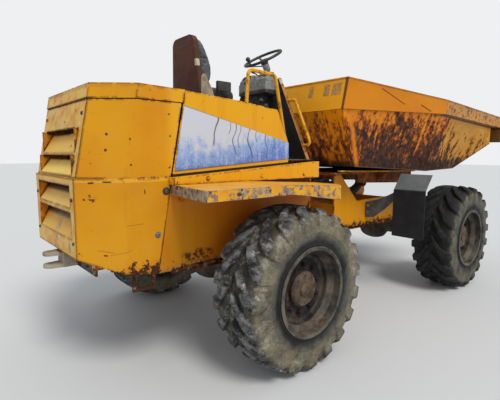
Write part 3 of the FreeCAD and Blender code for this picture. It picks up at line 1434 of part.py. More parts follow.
def main():
    make_lower_housing()
    make_grille()
    other_side(make_engine_side(), "engine_side_left")
    make_lid()
    other_side(make_platform(), "platform_left")
    make_insets()
    make_floor()
    make_sills()
    other_side(make_footplate(), "footplate_left")
    make_guard()
    make_dash()
    make_column()
    make_steering_wheel()
    make_seat()
    make_rails()
    make_controls()
    make_rear_frame()
    make_axle("rear_axle", size(0))
    make_engine()
    make_hitch()
    make_pivot()
    make_front_frame()
    make_axle("front_axle", d.wheel_base)
    make_mudguards()
    make_skip()
    make_skip_frame()
    make_rams()
    make_wheels()
    doc.recompute()
    failed = [item.Name for item in doc.Objects if {"Invalid", "Error"} & set(item.State)]
    for item in nodes:
        if item.Shape.isNull() or not item.Shape.isValid() or item.Shape.Volume <= 0:
            failed.append(item.Label)
    if failed:
        raise RuntimeError("these did not build: " + ", ".join(failed))
    os.makedirs("parts", exist_ok=True)
    for item in nodes:
        item.Shape.exportStep(f"parts/{item.Label}.step")


main()
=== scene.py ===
import json
import math

import bmesh
import bpy
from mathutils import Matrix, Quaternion, Vector


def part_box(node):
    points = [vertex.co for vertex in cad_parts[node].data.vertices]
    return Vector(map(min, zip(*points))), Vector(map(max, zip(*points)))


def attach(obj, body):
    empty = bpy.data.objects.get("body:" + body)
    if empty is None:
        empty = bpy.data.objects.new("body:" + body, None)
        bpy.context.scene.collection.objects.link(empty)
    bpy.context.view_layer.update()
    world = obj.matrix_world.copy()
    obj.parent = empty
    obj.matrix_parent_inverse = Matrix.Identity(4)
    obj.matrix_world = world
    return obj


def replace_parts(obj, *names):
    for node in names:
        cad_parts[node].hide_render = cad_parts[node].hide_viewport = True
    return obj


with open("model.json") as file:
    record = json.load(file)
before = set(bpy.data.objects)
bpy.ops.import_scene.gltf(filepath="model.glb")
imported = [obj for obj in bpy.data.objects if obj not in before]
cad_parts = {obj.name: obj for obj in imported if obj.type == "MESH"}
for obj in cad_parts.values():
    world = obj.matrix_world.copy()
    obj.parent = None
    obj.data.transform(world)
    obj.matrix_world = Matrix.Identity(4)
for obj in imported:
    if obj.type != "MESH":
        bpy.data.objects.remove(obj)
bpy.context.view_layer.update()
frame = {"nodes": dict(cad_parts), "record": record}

nodes = frame["nodes"]
AXLES = {"rear": -1.1775, "front": 1.5975}
SIDES = {"right": -1, "left": 1}
TYRE_RADIUS = 0.590
TYRE_WIDTH = 0.445
OUTER_Y = 1.25
LUGS = 19
# Heights of the lid's lower edge and of the flange above the lower housing, and how far out the housing's sides are.
LID_FOOT = 1.873
FLANGE = (1.366, 1.392)
HOUSING_SIDE = 0.655


# Finishes: colours are written as 0 to 255 a channel

YELLOW = (216, 150, 14)
YELLOW_DEEP = (206, 132, 10)
YELLOW_PALE = (232, 196, 104)
RUST = (104, 52, 26)
RUST_DARK = (52, 32, 26)
RUST_BRIGHT = (158, 82, 34)
DUST = (176, 160, 132)
BLACK = (30, 30, 31)


def srgb(*channels):
    """A colour in the values that a shader takes."""
    shares = [channel / 255 for channel in channels]
    return *(share / 12.92 if share <= 0.04045 else ((share + 0.055) / 1.055) ** 2.4 for share in shares), 1.0


class Value:
    """A socket of a finish; a sum, difference or product of values adds a node."""

    def __init__(self, finish, socket):
        self.finish = finish
        self.socket = socket

    def __add__(self, other):
        return self.finish.calc("ADD", self, other)

    def __radd__(self, other):
        return self.finish.calc("ADD", other, self)

    def __sub__(self, other):
        return self.finish.calc("SUBTRACT", self, other)

    def __rsub__(self, other):
        return self.finish.calc("SUBTRACT", other, self)

    def __mul__(self, other):
        return self.finish.calc("MULTIPLY", self, other)

    def __truediv__(self, other):
        return self.finish.calc("DIVIDE", self, other)

    def __abs__(self):
        return self.finish.calc("ABSOLUTE", self)


class Finish:
    """One procedural material: its calls add nodes, and coat lays a paint over the colour so far.

    x, y and z are metres on the object at rest; nx, ny and nz say which way a face looks.
    """

    def __init__(self, name):
        self.material = bpy.data.materials.new(name)
        self.material.use_nodes = True
        self.tree = self.material.node_tree
        self.shader = self.tree.nodes["Principled BSDF"]
        coords = self.add("TexCoord")
        self.place = coords.outputs["Object"]
        self.x, self.y, self.z = self.split(self.place)
        self.nx, self.ny, self.nz = self.split(coords.outputs["Normal"])
        self.colour = None

    def add(self, kind, **settings):
        node = self.tree.nodes.new("ShaderNode" + kind)
        for field, value in settings.items():
            setattr(node, field, value)
        return node

    def feed(self, socket, value):
        """Links a value or socket, or sets a number or colour."""
        if isinstance(value, Value):
            value = value.socket
        if isinstance(value, bpy.types.NodeSocket):
            self.tree.links.new(value, socket)
        else:
            socket.default_value = srgb(*value) if isinstance(value, tuple) else value

    def split(self, vector):
        node = self.add("SeparateXYZ")
        self.feed(node.inputs[0], vector)
        return [Value(self, socket) for socket in node.outputs]

    def calc(self, operation, one, two=0.0, clamp=False):
        node = self.add("Math", operation=operation, use_clamp=clamp)
        self.feed(node.inputs[0], one)
        self.feed(node.inputs[1], two)
        return Value(self, node.outputs[0])

    def most(self, *values):
        result = values[0]
        for value in values[1:]:
            result = self.calc("MAXIMUM", result, value)
        return result

    def less(self, value):
        return self.calc("SUBTRACT", 1.0, value, clamp=True)

    def line(self, value, start, end, at_start, at_end, kind="LINEAR"):
        """A straight run between two values, level before and after them."""
        node = self.add("MapRange", interpolation_type=kind)
        self.feed(node.inputs["Value"], value)
        fields = ("From Min", "From Max", "To Min", "To Max")
        for field, number in zip(fields, (start, end, at_start, at_end)):
            node.inputs[field].default_value = number
        return Value(self, node.outputs["Result"])

    def step(self, value, low, high):
        """A soft step from 0 at low to 1 at high; low may be the larger one."""
        ends = (low, high, 0.0, 1.0) if low <= high else (high, low, 1.0, 0.0)
        return self.line(value, *ends, "SMOOTHSTEP")

    def within(self, value, low, high, soft=0.003):
        """1 between two values."""
        return self.step(value, low - soft, low + soft) * self.step(value, high + soft, high - soft)

    def patch(self, *ranges):
        """1 inside a box given as (axis, low, high) for each of its axes."""
        inside = [self.within(getattr(self, axis), low, high) for axis, low, high in ranges]
        return math.prod(inside[1:], start=inside[0])

    def stroke(self, start, end, width):
        """1 on a line between two (x, z) points of a side."""
        (x, z), (far_x, far_z) = start, end
        dx, dz = far_x - x, far_z - z
        length = math.hypot(dx, dz)
        ahead, up = self.x - x, self.z - z
        along = ahead * (dx / length) + up * (dz / length)
        off = abs(ahead * (dz / length) + up * (-dx / length))
        return self.step(off, width, width * 0.5) * self.within(along, 0.0, length)

    def upright(self):
        """Places laid out along each wall: x on the side walls, y on the end walls, then height."""
        end_wall = self.step(abs(self.nx), 0.55, 0.75)
        join = self.add("CombineXYZ")
        for socket, value in zip(join.inputs, (self.x * self.less(end_wall) + self.y * end_wall, end_wall, self.z)):
            self.feed(socket, value)
        return join.outputs[0]

    def noise(self, scale, detail=4.0, rough=0.55, stretch=(1, 1, 1), shift=0.0, place=None):
        moved = self.add("VectorMath", operation="MULTIPLY_ADD")
        self.feed(moved.inputs[0], place or self.place)
        moved.inputs[1].default_value = stretch
        moved.inputs[2].default_value = (shift, shift * 0.7, shift * 1.3)
        node = self.add("TexNoise")
        self.feed(node.inputs["Vector"], moved.outputs[0])
        for field, number in zip(("Scale", "Detail", "Roughness"), (scale, detail, rough)):
            node.inputs[field].default_value = number
        return Value(self, node.outputs["Fac"])

    def spots(self, low, high, *noise, **more):
        """Patches of noise with soft edges."""
        return self.step(self.noise(*noise, **more), low, high)

    def blend(self, share, one, two):
        node = self.add("Mix", data_type="RGBA")
        self.feed(node.inputs["Factor"], share)
        sides = {socket.name: socket for socket in node.inputs if socket.type == "RGBA"}
        self.feed(sides["A"], one)
        self.feed(sides["B"], two)
        return Value(self, next(out for out in node.outputs if out.type == "RGBA"))

    def coat(self, share, paint):
        self.colour = self.blend(share, self.colour, paint)

    def edges(self, radius, full=0.90):
        """1 on outer and inner edges that are sharper than the radius, 0 on flat faces."""
        bevel = self.add("Bevel", samples=4)
        bevel.inputs["Radius"].default_value = radius
        dot = self.add("VectorMath", operation="DOT_PRODUCT")
        self.feed(dot.inputs[0], bevel.outputs[0])
        self.feed(dot.inputs[1], self.add("NewGeometry").outputs["Normal"])
        return self.step(dot.outputs["Value"], 0.997, full)

    def crevices(self, distance):
        node = self.add("AmbientOcclusion", samples=4)
        node.inputs["Distance"].default_value = distance
        return self.less(node.outputs["AO"])

    def bump(self, height, distance, strength=1.0, under=None):
        node = self.add("Bump")
        node.inputs["Distance"].default_value = distance
        node.inputs["Strength"].default_value = strength
        self.feed(node.inputs["Height"], height)
        if under is not None:
            self.feed(node.inputs["Normal"], under)
        return node.outputs[0]

    def set(self, rough, normal, metal=0.0, **fixed):
        fields = ("Base Color", "Roughness", "Normal", "Metallic")
        for field, value in zip(fields, (self.colour, rough, normal, metal)):
            self.feed(self.shader.inputs[field], value)
        for field, value in fixed.items():
            self.shader.inputs[field.replace("_", " ")].default_value = value
        return self.material


def painted(name, base, deep, chips, low_rust=None, dust=0.08, bright=None, mud=0.0):
    """Old sheet-metal paint: faded at the rear and on top, chipped to rust at edges and low down, with a painted
    highlight on upward faces at the rear and painted shade in corners and recesses.
    """
    f = Finish(name)
    x, z = f.x, f.z
    walls = f.upright()
    broad = f.noise(1.6, 3, 0.5)
    cloud = f.noise(9, 5, 0.6, shift=3.0)
    fine = f.noise(55, 6, 0.65, shift=1.0)
    f.colour = f.blend(f.step(broad, 0.35, 0.7), base, deep)
    f.coat(f.step(x, -2.0, -1.9) * 0.8, bright or base)
    runs = f.spots(0.5, 0.74, 4, 3, 0.6, stretch=(4.5, 4.5, 0.3), shift=7.0, place=walls)
    f.coat(runs * 0.3, deep)
    back = f.step(f.nx, -0.86, -0.96) * f.step(x, -2.25, -2.32)
    # Painted highlight: upward faces at the rear, the louvre blades among them, are given a pale yellow for the light
    # that falls on them.
    up = f.step(f.nz, 0.3, 0.75) * f.less(f.step(x, -2.3, -2.1))
    f.coat(back * f.step(cloud, 0.36, 0.6) * 0.75, YELLOW_PALE)
    f.coat(up * f.step(cloud, 0.1, 0.4) * 0.95, (255, 222, 112))
    f.coat(f.step(f.nz, 0.55, 0.95) * f.step(cloud, 0.4, 0.64) * 0.28, YELLOW_PALE)
    f.coat(f.spots(0.5, 0.76, 6, 5, 0.7, shift=11.0) * dust, DUST)
    # The folded flange above the lower housing catches more light.
    fold = f.within(z, *FLANGE) * f.step(x, -1.93, -1.95)
    f.coat(fold * 0.55, (240, 184, 62))
    # Hair scratches, and rust that has bled down from small chips.
    hair = (f.spots(0.665, 0.68, 60, 2, 0.5, stretch=(0.2, 1.0, 2.4), shift=43.0, place=walls)
            * f.spots(0.54, 0.62, 2.6, 3, 0.5, shift=47.0))
    f.coat(hair * 0.4, (122, 80, 34))
    bled = f.spots(0.68, 0.8, 9, 4, 0.6, stretch=(3.2, 3.2, 0.3), shift=53.0, place=walls)
    f.coat(bled * 0.35, (176, 96, 24))
    # Chips: on worn edges, in clusters near the rear corners, and rust that eats upwards from the foot.
    side = abs(f.y)
    soft_fold = (f.within(x, -2.3, -2.12, 0.02) * f.step(side, 0.58, 0.62)
                 * f.less(f.most(f.within(z, 1.362, 1.398), f.step(z, 1.85, 1.865), f.step(z, 0.82, 0.79))))
    over_louvres = f.within(z, 1.708, 1.86) * f.step(side, 0.372, 0.36) * f.step(x, -2.33, -2.36)
    rim = f.edges(0.02, 0.955) * f.less(f.most(soft_fold * 0.85, over_louvres))
    tail = f.step(x, -2.3, -2.4)
    chipped = f.noise(17, 6, 0.72, shift=5.0) + tail * 0.1
    worn = rim * f.step(chipped, 0.6 - 0.14 * chips, 0.64 - 0.12 * chips)
    spotted = f.noise(15, 7, 0.64, shift=13.0) + tail * 0.035
    level = 0.735 - 0.035 * chips
    dots = f.step(spotted, level, level + 0.012)
    gone = f.most(worn, dots)
    if low_rust is not None:
        bottom, top = low_rust
        depth = f.step(z, top, bottom)
        eaten = depth * 0.4 + f.noise(20, 7, 0.75, shift=23.0)
        ragged = (f.spots(0.46, 0.5, 36, 7, 0.72, shift=25.0)
                  * f.step(f.noise(7, 4, 0.6, shift=27.0) * 0.1 + abs(z - 0.838), 0.1, 0.07)
                  * f.within(x, -1.86, -1.62, 0.03))
        gone = f.most(gone, f.step(eaten, 0.805, 0.835), ragged * 0.9)
        stain = depth * 0.5 + f.noise(5, 4, 0.6, stretch=(1, 1, 0.5), shift=29.0)
        f.coat(f.step(stain, 0.72, 1.1) * 0.45, (184, 100, 22))
    halo = f.step(spotted, level - 0.045, level) * 0.5
    f.coat(halo, (168, 92, 26))
    shaded = f.step(f.crevices(0.45), 0.15, 0.6) * f.step(z, 1.34, 1.28)
    f.coat(shaded * 0.7, (214, 100, 20))
    if mud:
        soil = f.step(z + f.noise(6, 5, 0.65, shift=81.0) * 0.1, 0.86, 0.8) * f.step(x, -1.1, -1.4) * mud
        f.coat(soil, f.blend(f.step(fine, 0.4, 0.6), (112, 92, 60), (146, 128, 96)))
    under = f.blend(f.step(fine, 0.4, 0.6), RUST, RUST_DARK)
    under = f.blend(f.step(z, 1.05, 0.95) * 0.6, under, (58, 36, 28))
    f.coat(gone, under)
    # Dirt and rust under the lid's rear edge, and painted shade behind the louvres' blades.
    lip = f.within(z, LID_FOOT, LID_FOOT + 0.01, 0.004) * f.step(x, -2.33, -2.36) * f.step(cloud, 0.38, 0.5)
    f.coat(lip * 0.85, (82, 50, 32))
    face = f.line(z, 1.39, 1.87, -2.4815, -2.3903)
    face = face * f.step(z, 1.386, 1.39) + f.less(f.step(z, 1.386, 1.39)) * -2.4955
    into = x - face
    painted_louvre_shade = f.step(into, 0.046, 0.062) * f.step(x, -2.28, -2.32) * f.step(side, 0.372, 0.366)
    f.coat(painted_louvre_shade * 0.9, (34, 24, 16))
    # The seam at the front of the lower housing, a painted shadow in the gap over the sill, two old scrapes.
    flank = f.step(side, 0.64, 0.648)
    flank_or_chamfer = f.step(abs(f.ny), 0.4, 0.6)
    seam = f.stroke((-1.938, 1.366), (-2.055, 0.746), 0.005) * flank
    sill_top = f.line(x, -1.9625, -0.5225, 1.388, 1.478)
    # A painted shadow: a dark strip just above the sill's top edge.
    gap = (f.step(z - sill_top, 0.019, 0.016) * f.step(side, 0.668, 0.664) * flank * f.within(x, -1.945, -0.84)
           * f.step(z, 1.37, 1.38))
    f.coat(f.most(seam * 0.85, gap), (38, 22, 14))
    scrapes = f.most(f.stroke((-2.258, 1.099), (-2.144, 1.103), 0.003),
                     f.stroke((-2.34, 0.915), (-2.225, 0.945), 0.0024),
                     f.stroke((-2.395, 0.946), (-2.315, 0.932), 0.003))
    f.coat(scrapes * 0.6, (130, 74, 24))
    rough_edge = f.spots(0.34, 0.46, 40, 4, 0.7, shift=77.0)
    marks = [f.stroke(*mark) for mark in (
        ((-2.428, 1.362), (-2.402, 1.364), 0.0075), ((-2.362, 1.369), (-2.322, 1.37), 0.006),
        ((-2.426, 1.292), (-2.418, 1.274), 0.007), ((-2.41, 1.266), (-2.404, 1.25), 0.009),
        ((-2.452, 1.268), (-2.446, 1.256), 0.007), ((-2.368, 0.916), (-2.35, 0.914), 0.007),
        ((-2.132, 1.318), (-2.131, 1.29), 0.005))]
    f.coat(f.most(*marks) * rough_edge * flank_or_chamfer, (84, 46, 26))
    scoured = (f.patch(("x", -2.52, -2.4), ("z", 0.9, 1.16), ("y", -0.36, 0.1))
               * f.spots(0.52, 0.6, 9, 6, 0.75, stretch=(1, 1.6, 0.5), shift=61.0))
    f.coat(scoured * 0.75, (134, 126, 112))
    # Dark brown in corners: dirt, and painted shade where the corners are enclosed.
    corners = f.crevices(0.05)
    grime = f.step(corners, 0.3, 0.75) * f.step(cloud, 0.22, 0.55)
    f.coat(grime * 0.75 * f.less(up * 0.85), (74, 48, 22))
    dents = f.bump(broad, 0.02, 0.35)
    peel = f.bump(fine * 0.25 - gone, 0.0012, 0.6, dents)
    rough = f.calc("ADD", gone * 0.45, 0.34 + cloud * 0.18, clamp=True)
    return f.set(rough, peel, Specular_IOR_Level=0.22)


def plain(name, base, other, rough, dust, rust=0.0, metal=0.0):
    """A simple worn surface: two tones, dust that lies on top and in corners, a fine grain."""
    f = Finish(name)
    tone = f.noise(8, 5, 0.6)
    f.colour = f.blend(f.step(tone, 0.4, 0.65), base, other)
    if rust:
        f.coat(f.spots(0.66 - 0.25 * rust, 0.76 - 0.2 * rust, 13, 6, 0.7, shift=4.0) * 0.9,
               f.blend(f.noise(40, 4, shift=6.0), RUST, RUST_BRIGHT))
    lying = f.most(f.step(f.nz, 0.2, 0.9) * 0.8, f.crevices(0.05), 0.25)
    share = lying * f.spots(0.35, 0.7, 7, 6, 0.7, shift=9.0) * dust
    f.coat(share, DUST)
    fine = f.noise(60, 5, 0.65, shift=2.0)
    return f.set(f.calc("ADD", rough, fine * 0.2, clamp=True), f.bump(fine, 0.0015, 0.5), metal)


def belly_paint():
    """The skip: fair paint on the rim band, and below it flaking rust that hangs down and darkens to the floor."""
    f = Finish("skip_paint")
    x, y, z = f.x, f.y, f.z
    walls = f.upright()
    broad = f.noise(1.3, 4, 0.55)
    fine = f.noise(42, 6, 0.7, shift=3.0)
    base = f.blend(f.step(broad, 0.35, 0.68), (210, 130, 12), (196, 112, 10))
    behind = f.step(f.nx, -0.5, -0.8)
    base = f.blend(behind * 0.95, base, (250, 172, 26))
    # Where old stickers were, the paint on the rear wall is paler.
    wide = (("z", 2.09, 2.205), ("x", -0.3, -0.05))
    plates = [f.patch(("y", -0.325, -0.265), *wide), f.patch(("y", -0.525, -0.455), *wide),
              f.patch(("y", -0.665, -0.555), *wide)]
    torn = f.spots(0.28, 0.46, 18, 5, 0.7, shift=71.0)
    left = f.blend(f.spots(0.42, 0.58, 30, 4, 0.7, shift=73.0), (206, 150, 70), (140, 116, 96))
    base = f.blend(f.most(*plates) * torn * 0.8, base, left)
    # The band's foot climbs to the bend of the rim and falls after it.
    foot = f.line(x, -0.19, 1.2725, 1.955, 1.98) + f.line(x, 1.2725, 2.4425, 0.0, -0.102)
    below = foot - z
    on_belly = f.step(below, -0.003, 0.004)
    drop = f.line(below, 0.0, 0.6, 0.0, 1.0)
    blobs = f.noise(17, 8, 0.74, stretch=(1.25, 1.0, 0.8), shift=5.0, place=walls)
    hang = f.noise(10, 6, 0.66, stretch=(2.4, 1.0, 0.32), shift=9.0, place=walls)
    patch = f.noise(2.2, 4, 0.6, stretch=(1.3, 1.0, 0.7), shift=8.0, place=walls)
    front = f.step(x, 1.38, 1.52)
    amount = (drop * 0.46 + blobs * 2.3 + hang * 1.2 + patch * 0.9 + front * -0.31 + front * drop * 0.24
              + behind * -0.13 - 2.275)
    stain = f.step(amount, -0.16, 0.04) * on_belly
    brown = f.step(amount, 0.02, 0.07) * on_belly
    dark = f.step(amount, 0.16, 0.24) * on_belly
    belly = f.blend(front, f.blend(behind, (226, 136, 14), (255, 158, 18)), (206, 148, 52))
    f.colour = f.blend(on_belly, base, belly)
    f.coat(stain * f.line(front, 0.0, 1.0, 0.85, 0.45), (178, 88, 20))
    crust = f.noise(24, 5, 0.6, shift=21.0)
    flakes = f.blend(f.step(crust, 0.4, 0.6), (76, 44, 30), (132, 70, 34))
    flakes = f.blend(behind * 0.5, flakes, (168, 92, 44))
    chips = f.spots(0.6, 0.63, 24, 7, 0.72, stretch=(1.2, 1.0, 0.7), shift=83.0) * front * on_belly
    f.coat(f.most(brown, chips) * 0.95, flakes)
    deep = f.blend(f.step(crust, 0.44, 0.64), (44, 32, 30), (82, 54, 38))
    f.coat(dark * 0.92, deep)
    # A worn floor line, and a clean streak beside the rear corner.
    floor_line = f.step(z, 1.53, 1.43) * f.spots(0.28, 0.45, 5, 4, 0.6, shift=19.0) * on_belly
    floor_rust = f.spots(0.54, 0.64, 8, 6, 0.7, stretch=(2.0, 2.0, 0.6), shift=67.0) * 0.8
    f.coat(floor_line * 0.88, f.blend(floor_rust, deep, (118, 64, 34)))
    sway = f.noise(14, 4, 0.6, shift=35.0, place=walls) * 0.05
    side_face = f.step(abs(f.ny), 0.55, 0.75)
    corner = f.within(x + below * -0.42 + sway, -0.085, -0.03, 0.018) * on_belly * side_face * f.step(drop, 0.95, 0.8)
    f.coat(corner * 0.85, (226, 128, 16))
    # Scratches and chips on the band, a dark line where the rear and side plates meet, a worn pouring end, and painted
    # shadows under the front lip and along the foot of the band's front part.
    gone = f.edges(0.008) * f.spots(0.45, 0.54, 12, 5, 0.7, shift=15.0)
    spots = f.spots(0.715, 0.725, 15, 7, 0.65, shift=25.0)
    scored = f.most(f.stroke((0.3, 2.175), (0.62, 2.045), 0.006), f.stroke((0.86, 2.055), (1.02, 1.995), 0.008))
    gone = f.most(gone, f.most(spots, scored) * f.less(on_belly))
    band = f.less(on_belly)
    bend = f.within(x, 1.268, 1.28) * band
    pour = f.step(x, 1.275, 1.29) * f.spots(0.47, 0.56, 17, 7, 0.75, shift=31.0) * band
    f.coat(f.step(x, 1.275, 1.29) * band * 0.5, (196, 150, 88))
    worn = f.blend(f.spots(0.42, 0.6, 26, 5, 0.7, shift=33.0), (86, 62, 46), (178, 142, 98))
    f.coat(f.most(pour, bend) * 0.85, worn)
    joint = f.stroke((-0.1275, 2.243), (-0.192, 1.956), 0.013) * f.step(abs(y), 0.69, 0.7) * 0.85
    f.coat(joint, (62, 34, 20))
    # A painted shadow on the underside of the front lip's overhang.
    painted_lip_shadow = f.step(x, 2.34, 2.36) * f.step(below, -0.002, 0.006) * f.step(f.nx, 0.8, 0.5)
    f.coat(painted_lip_shadow * 0.8, (58, 40, 28))
    shade = f.within(below, 0.0, 0.022, 0.006) * f.step(x, 1.05, 1.3) * 0.85
    f.coat(shade, (44, 36, 32))
    f.coat(gone, f.blend(fine, RUST, RUST_DARK))
    # Inside, bare scoured steel with rust.
    inward = f.step(y * f.ny, -0.02, -0.1)
    ahead = f.step(x, 0.2, 0.15) * f.step(f.nx, 0.2, 0.4)
    floor = f.step(f.nz, 0.25, 0.45) * f.step(x, -0.02, 0.02)
    inner = f.most(inward, ahead, floor) * f.step(z, 1.356, 1.36)
    steel = f.blend(f.spots(0.38, 0.62, 6, 6, 0.7, shift=33.0), (98, 76, 60), (128, 84, 50))
    scrape = f.noise(9, 6, 0.68, stretch=(0.12, 2.4, 2.4), shift=37.0)
    steel = f.blend(f.step(scrape, 0.5, 0.72) * 0.6, steel, (134, 122, 108))
    earth = f.spots(0.46, 0.62, 2.4, 6, 0.7, shift=91.0) * f.step(z, 2.05, 1.5) * 0.6
    steel = f.blend(earth, steel, f.blend(f.step(fine, 0.36, 0.62), (134, 112, 84), (104, 84, 62)))
    f.coat(inner, steel)
    # The frame under the floor is rusty all over.
    frame_part = f.step(z, 1.3519, 1.3515) * f.step(abs(y), 0.53, 0.525)
    rusty = f.blend(f.spots(0.38, 0.64, 12, 6, 0.7, shift=45.0), (98, 58, 34), (168, 94, 40))
    f.coat(frame_part, rusty)
    relief = fine * 0.5 - f.most(brown, gone)
    normal = f.bump(relief, 0.003, 0.6, f.bump(f.noise(3.2, 3, shift=41.0), 0.03, 0.4))
    rough = 0.4 + f.most(brown, dark, inner) * 0.38
    return f.set(rough, normal, Specular_IOR_Level=0.2)


def inset_panel():
    """A white panel faded over blue: blue at its foot and front end, with dark drips from the slanting top edge."""
    f = Finish("blue_white_panel")
    x, z = f.x, f.z
    ahead = f.line(x, -1.85, -0.85, 0.0, 1.0)
    foot = f.line(x, -1.93, -0.845, 1.425, 1.502)
    top = f.line(x, -1.85, -0.845, 1.862, 1.64)
    rise = (z - foot) / (top - foot)
    wash = f.noise(16, 7, 0.8, stretch=(1.0, 1.0, 0.9), shift=2.0)
    rags = f.noise(4.5, 6, 0.72, shift=18.0)
    runs = f.noise(13, 5, 0.6, stretch=(2.6, 2.6, 0.25), shift=6.0)
    blue = f.step(ahead, 0.25, 1.0) * 0.5 + rise * -0.75 + wash * 0.95 + rags * 0.75 + runs * 0.3 - 0.62
    f.colour = f.blend(f.step(blue, -0.04, 0.12), (200, 205, 218), (166, 184, 220))
    f.coat(f.step(blue, 0.1, 0.22), (130, 160, 216))
    f.coat(f.step(blue, 0.24, 0.5), (96, 126, 202))
    streaks = f.spots(0.5, 0.66, 22, 4, 0.6, stretch=(1.5, 1.5, 0.12), shift=66.0) * f.step(ahead, 0.25, 0.6)
    f.coat(streaks * 0.5, (186, 200, 226))
    flecks = f.spots(0.54, 0.62, 60, 5, 0.8, shift=9.0) * f.step(blue, 0.05, 0.25)
    f.coat(flecks * 0.6, (206, 212, 230))
    rim_line = f.step(f.calc("MINIMUM", rise, f.less(rise)), 0.03, 0.012)
    f.coat(rim_line * 0.7, (84, 98, 146))
    # A few drips from the top edge, each at its own place and length.
    sway = (f.noise(3.2, 2, 0.5, stretch=(0.6, 0.6, 1.0), shift=13.0) - 0.5) * 0.3
    drips = []
    for place, length, width in ((-1.6, 0.62, 0.005), (-1.49, 0.34, 0.003), (-1.425, 0.8, 0.0046),
                                 (-1.37, 0.62, 0.0034), (-1.262, 0.86, 0.0048), (-1.18, 0.4, 0.003),
                                 (-1.075, 0.9, 0.0042), (-0.98, 0.5, 0.003)):
        near = abs(x + sway - place)
        drips.append(f.step(near, width * 1.6, width * 0.6) * f.step(rise, 1.0 - length, 1.08 - length))
    f.coat(f.most(*drips) * 0.8, (70, 76, 92))
    grime = f.step(rise, 0.1, 0.0) * f.step(wash, 0.4, 0.6)
    f.coat(grime * 0.5, (96, 92, 84))
    f.coat(f.edges(0.005) * 0.5, (104, 92, 70))
    return f.set(0.32 + wash * 0.25, f.bump(wash, 0.001, 0.4), Specular_IOR_Level=0.25)


def wheel_radius(f):
    """How far a point of a wheel is from the middle of that wheel, and how far in from the nearer sidewall."""
    x, z = f.x, f.z
    ahead = f.calc("GREATER_THAN", x, 0.2)
    centre = ahead * (AXLES["front"] - AXLES["rear"]) + AXLES["rear"]
    dx = x - centre
    dz = z - TYRE_RADIUS
    radius = f.calc("SQRT", dx * dx + dz * dz)
    side = abs(f.y)
    inward = f.calc("MINIMUM", OUTER_Y - side, side - (OUTER_Y - TYRE_WIDTH))
    return (radius, inward, ahead)


def tyre_rubber():
    """Dusty rubber: khaki mud dried in the grooves and on the sidewalls, lug faces worn to a dark grey."""
    f = Finish("tyre_rubber")
    radius, inward, ahead = wheel_radius(f)
    tone = f.noise(9, 7, 0.75)
    fine = f.noise(60, 6, 0.7, shift=2.0)
    halfway = f.line(inward, 0.016, 0.105, 0.548, 0.572)
    on_lug = f.step(radius - halfway, -0.008, 0.008)
    tread = f.step(radius, 0.5, 0.53)
    f.colour = f.blend(f.step(tone, 0.38, 0.62), (27, 27, 28), (72, 73, 74))
    patches = f.noise(5, 7, 0.75, shift=5.0)
    grooves = tread * f.less(on_lug) * f.step(patches, 0.4, 0.6) * 0.7
    f.coat(grooves * f.line(ahead, 0.0, 1.0, 0.9, 0.4), f.blend(f.step(fine, 0.35, 0.65), (92, 82, 66), (66, 58, 48)))
    ring = f.step(radius, 0.36, 0.44) * f.spots(0.28, 0.58, 7, 7, 0.72, shift=14.0)
    grain = f.noise(90, 5, 0.7, shift=31.0)
    dried = f.blend(f.step(grain, 0.36, 0.62), (150, 144, 122), (112, 104, 82))
    dried = f.blend(f.spots(0.4, 0.62, 4.5, 5, 0.6, shift=37.0), dried, (126, 118, 92))
    f.coat(ring * f.step(radius, 0.565, 0.515) * f.line(ahead, 0.0, 1.0, 0.8, 0.45), dried)
    pale = f.step(radius, 0.43, 0.49) * f.spots(0.5, 0.64, 12, 7, 0.78, shift=26.0)
    f.coat(pale * f.line(ahead, 0.0, 1.0, 0.5, 0.1), (176, 172, 158))
    worn = f.spots(0.46, 0.66, 15, 6, 0.72, stretch=(1.0, 0.45, 1.0), shift=8.0)
    f.coat(on_lug * tread * worn * f.line(ahead, 0.0, 1.0, 0.62, 0.15), (148, 150, 153))
    streak = tread * f.spots(0.6, 0.66, 12, 6, 0.75, stretch=(1.0, 0.3, 1.0), shift=28.0) * 0.6
    f.coat(streak * f.less(ahead), (196, 198, 202))
    f.coat(ahead * tread * 0.7, (14, 16, 18))
    f.coat(f.step(radius, 0.385, 0.345) * 0.85, (26, 26, 26))
    # Painted shade: near black in corners and recesses.
    f.coat(f.step(f.crevices(0.05), 0.2, 0.7) * 0.8, (18, 17, 16))
    normal = f.bump(fine, 0.004, 0.7, f.bump(tone, 0.016, 0.6))
    return f.set(f.calc("ADD", 0.62, fine * 0.25, clamp=True), normal, Specular_IOR_Level=0.3)


def rim_paint():
    """A black wheel with a worn edge, rust in patches and a brown dusty hub cover."""
    f = Finish("rim_black")
    radius, inward, _ = wheel_radius(f)
    tone = f.noise(8, 5, 0.65)
    fine = f.noise(50, 5, 0.7, shift=4.0)
    barrel = f.step(radius, 0.215, 0.235)
    f.colour = f.blend(f.step(tone, 0.38, 0.64), (20, 20, 21), (36, 34, 33))
    shell = f.blend(f.step(tone, 0.36, 0.62), (44, 43, 41), (92, 86, 76))
    f.coat(barrel, shell)
    dusty = f.spots(0.44, 0.66, 5, 6, 0.7, shift=7.0) * f.step(f.z, 0.7, 0.45)
    f.coat(dusty * 0.5, (128, 116, 98))
    hub = f.step(radius, 0.134, 0.126)
    f.coat(hub, f.blend(f.spots(0.35, 0.65, 12, 5, 0.7, shift=9.0), (64, 52, 42), (108, 90, 70)))
    rust = f.spots(0.56, 0.62, 12, 7, 0.7, shift=12.0)
    f.coat(rust * f.line(f.z, 0.35, 0.75, 0.85, 0.3), f.blend(fine, (110, 62, 44), RUST_DARK))
    edge = f.step(radius, 0.312, 0.318) * f.spots(0.44, 0.6, 9, 5, 0.7, shift=15.0)
    f.coat(edge * 0.5, (112, 106, 94))
    # Painted shade: near black in the wheel's corners and recesses.
    f.coat(f.crevices(0.08) * 0.7, (20, 18, 16))
    return f.set(0.5 + fine * 0.25, f.bump(fine, 0.0015, 0.5), Specular_IOR_Level=0.3)


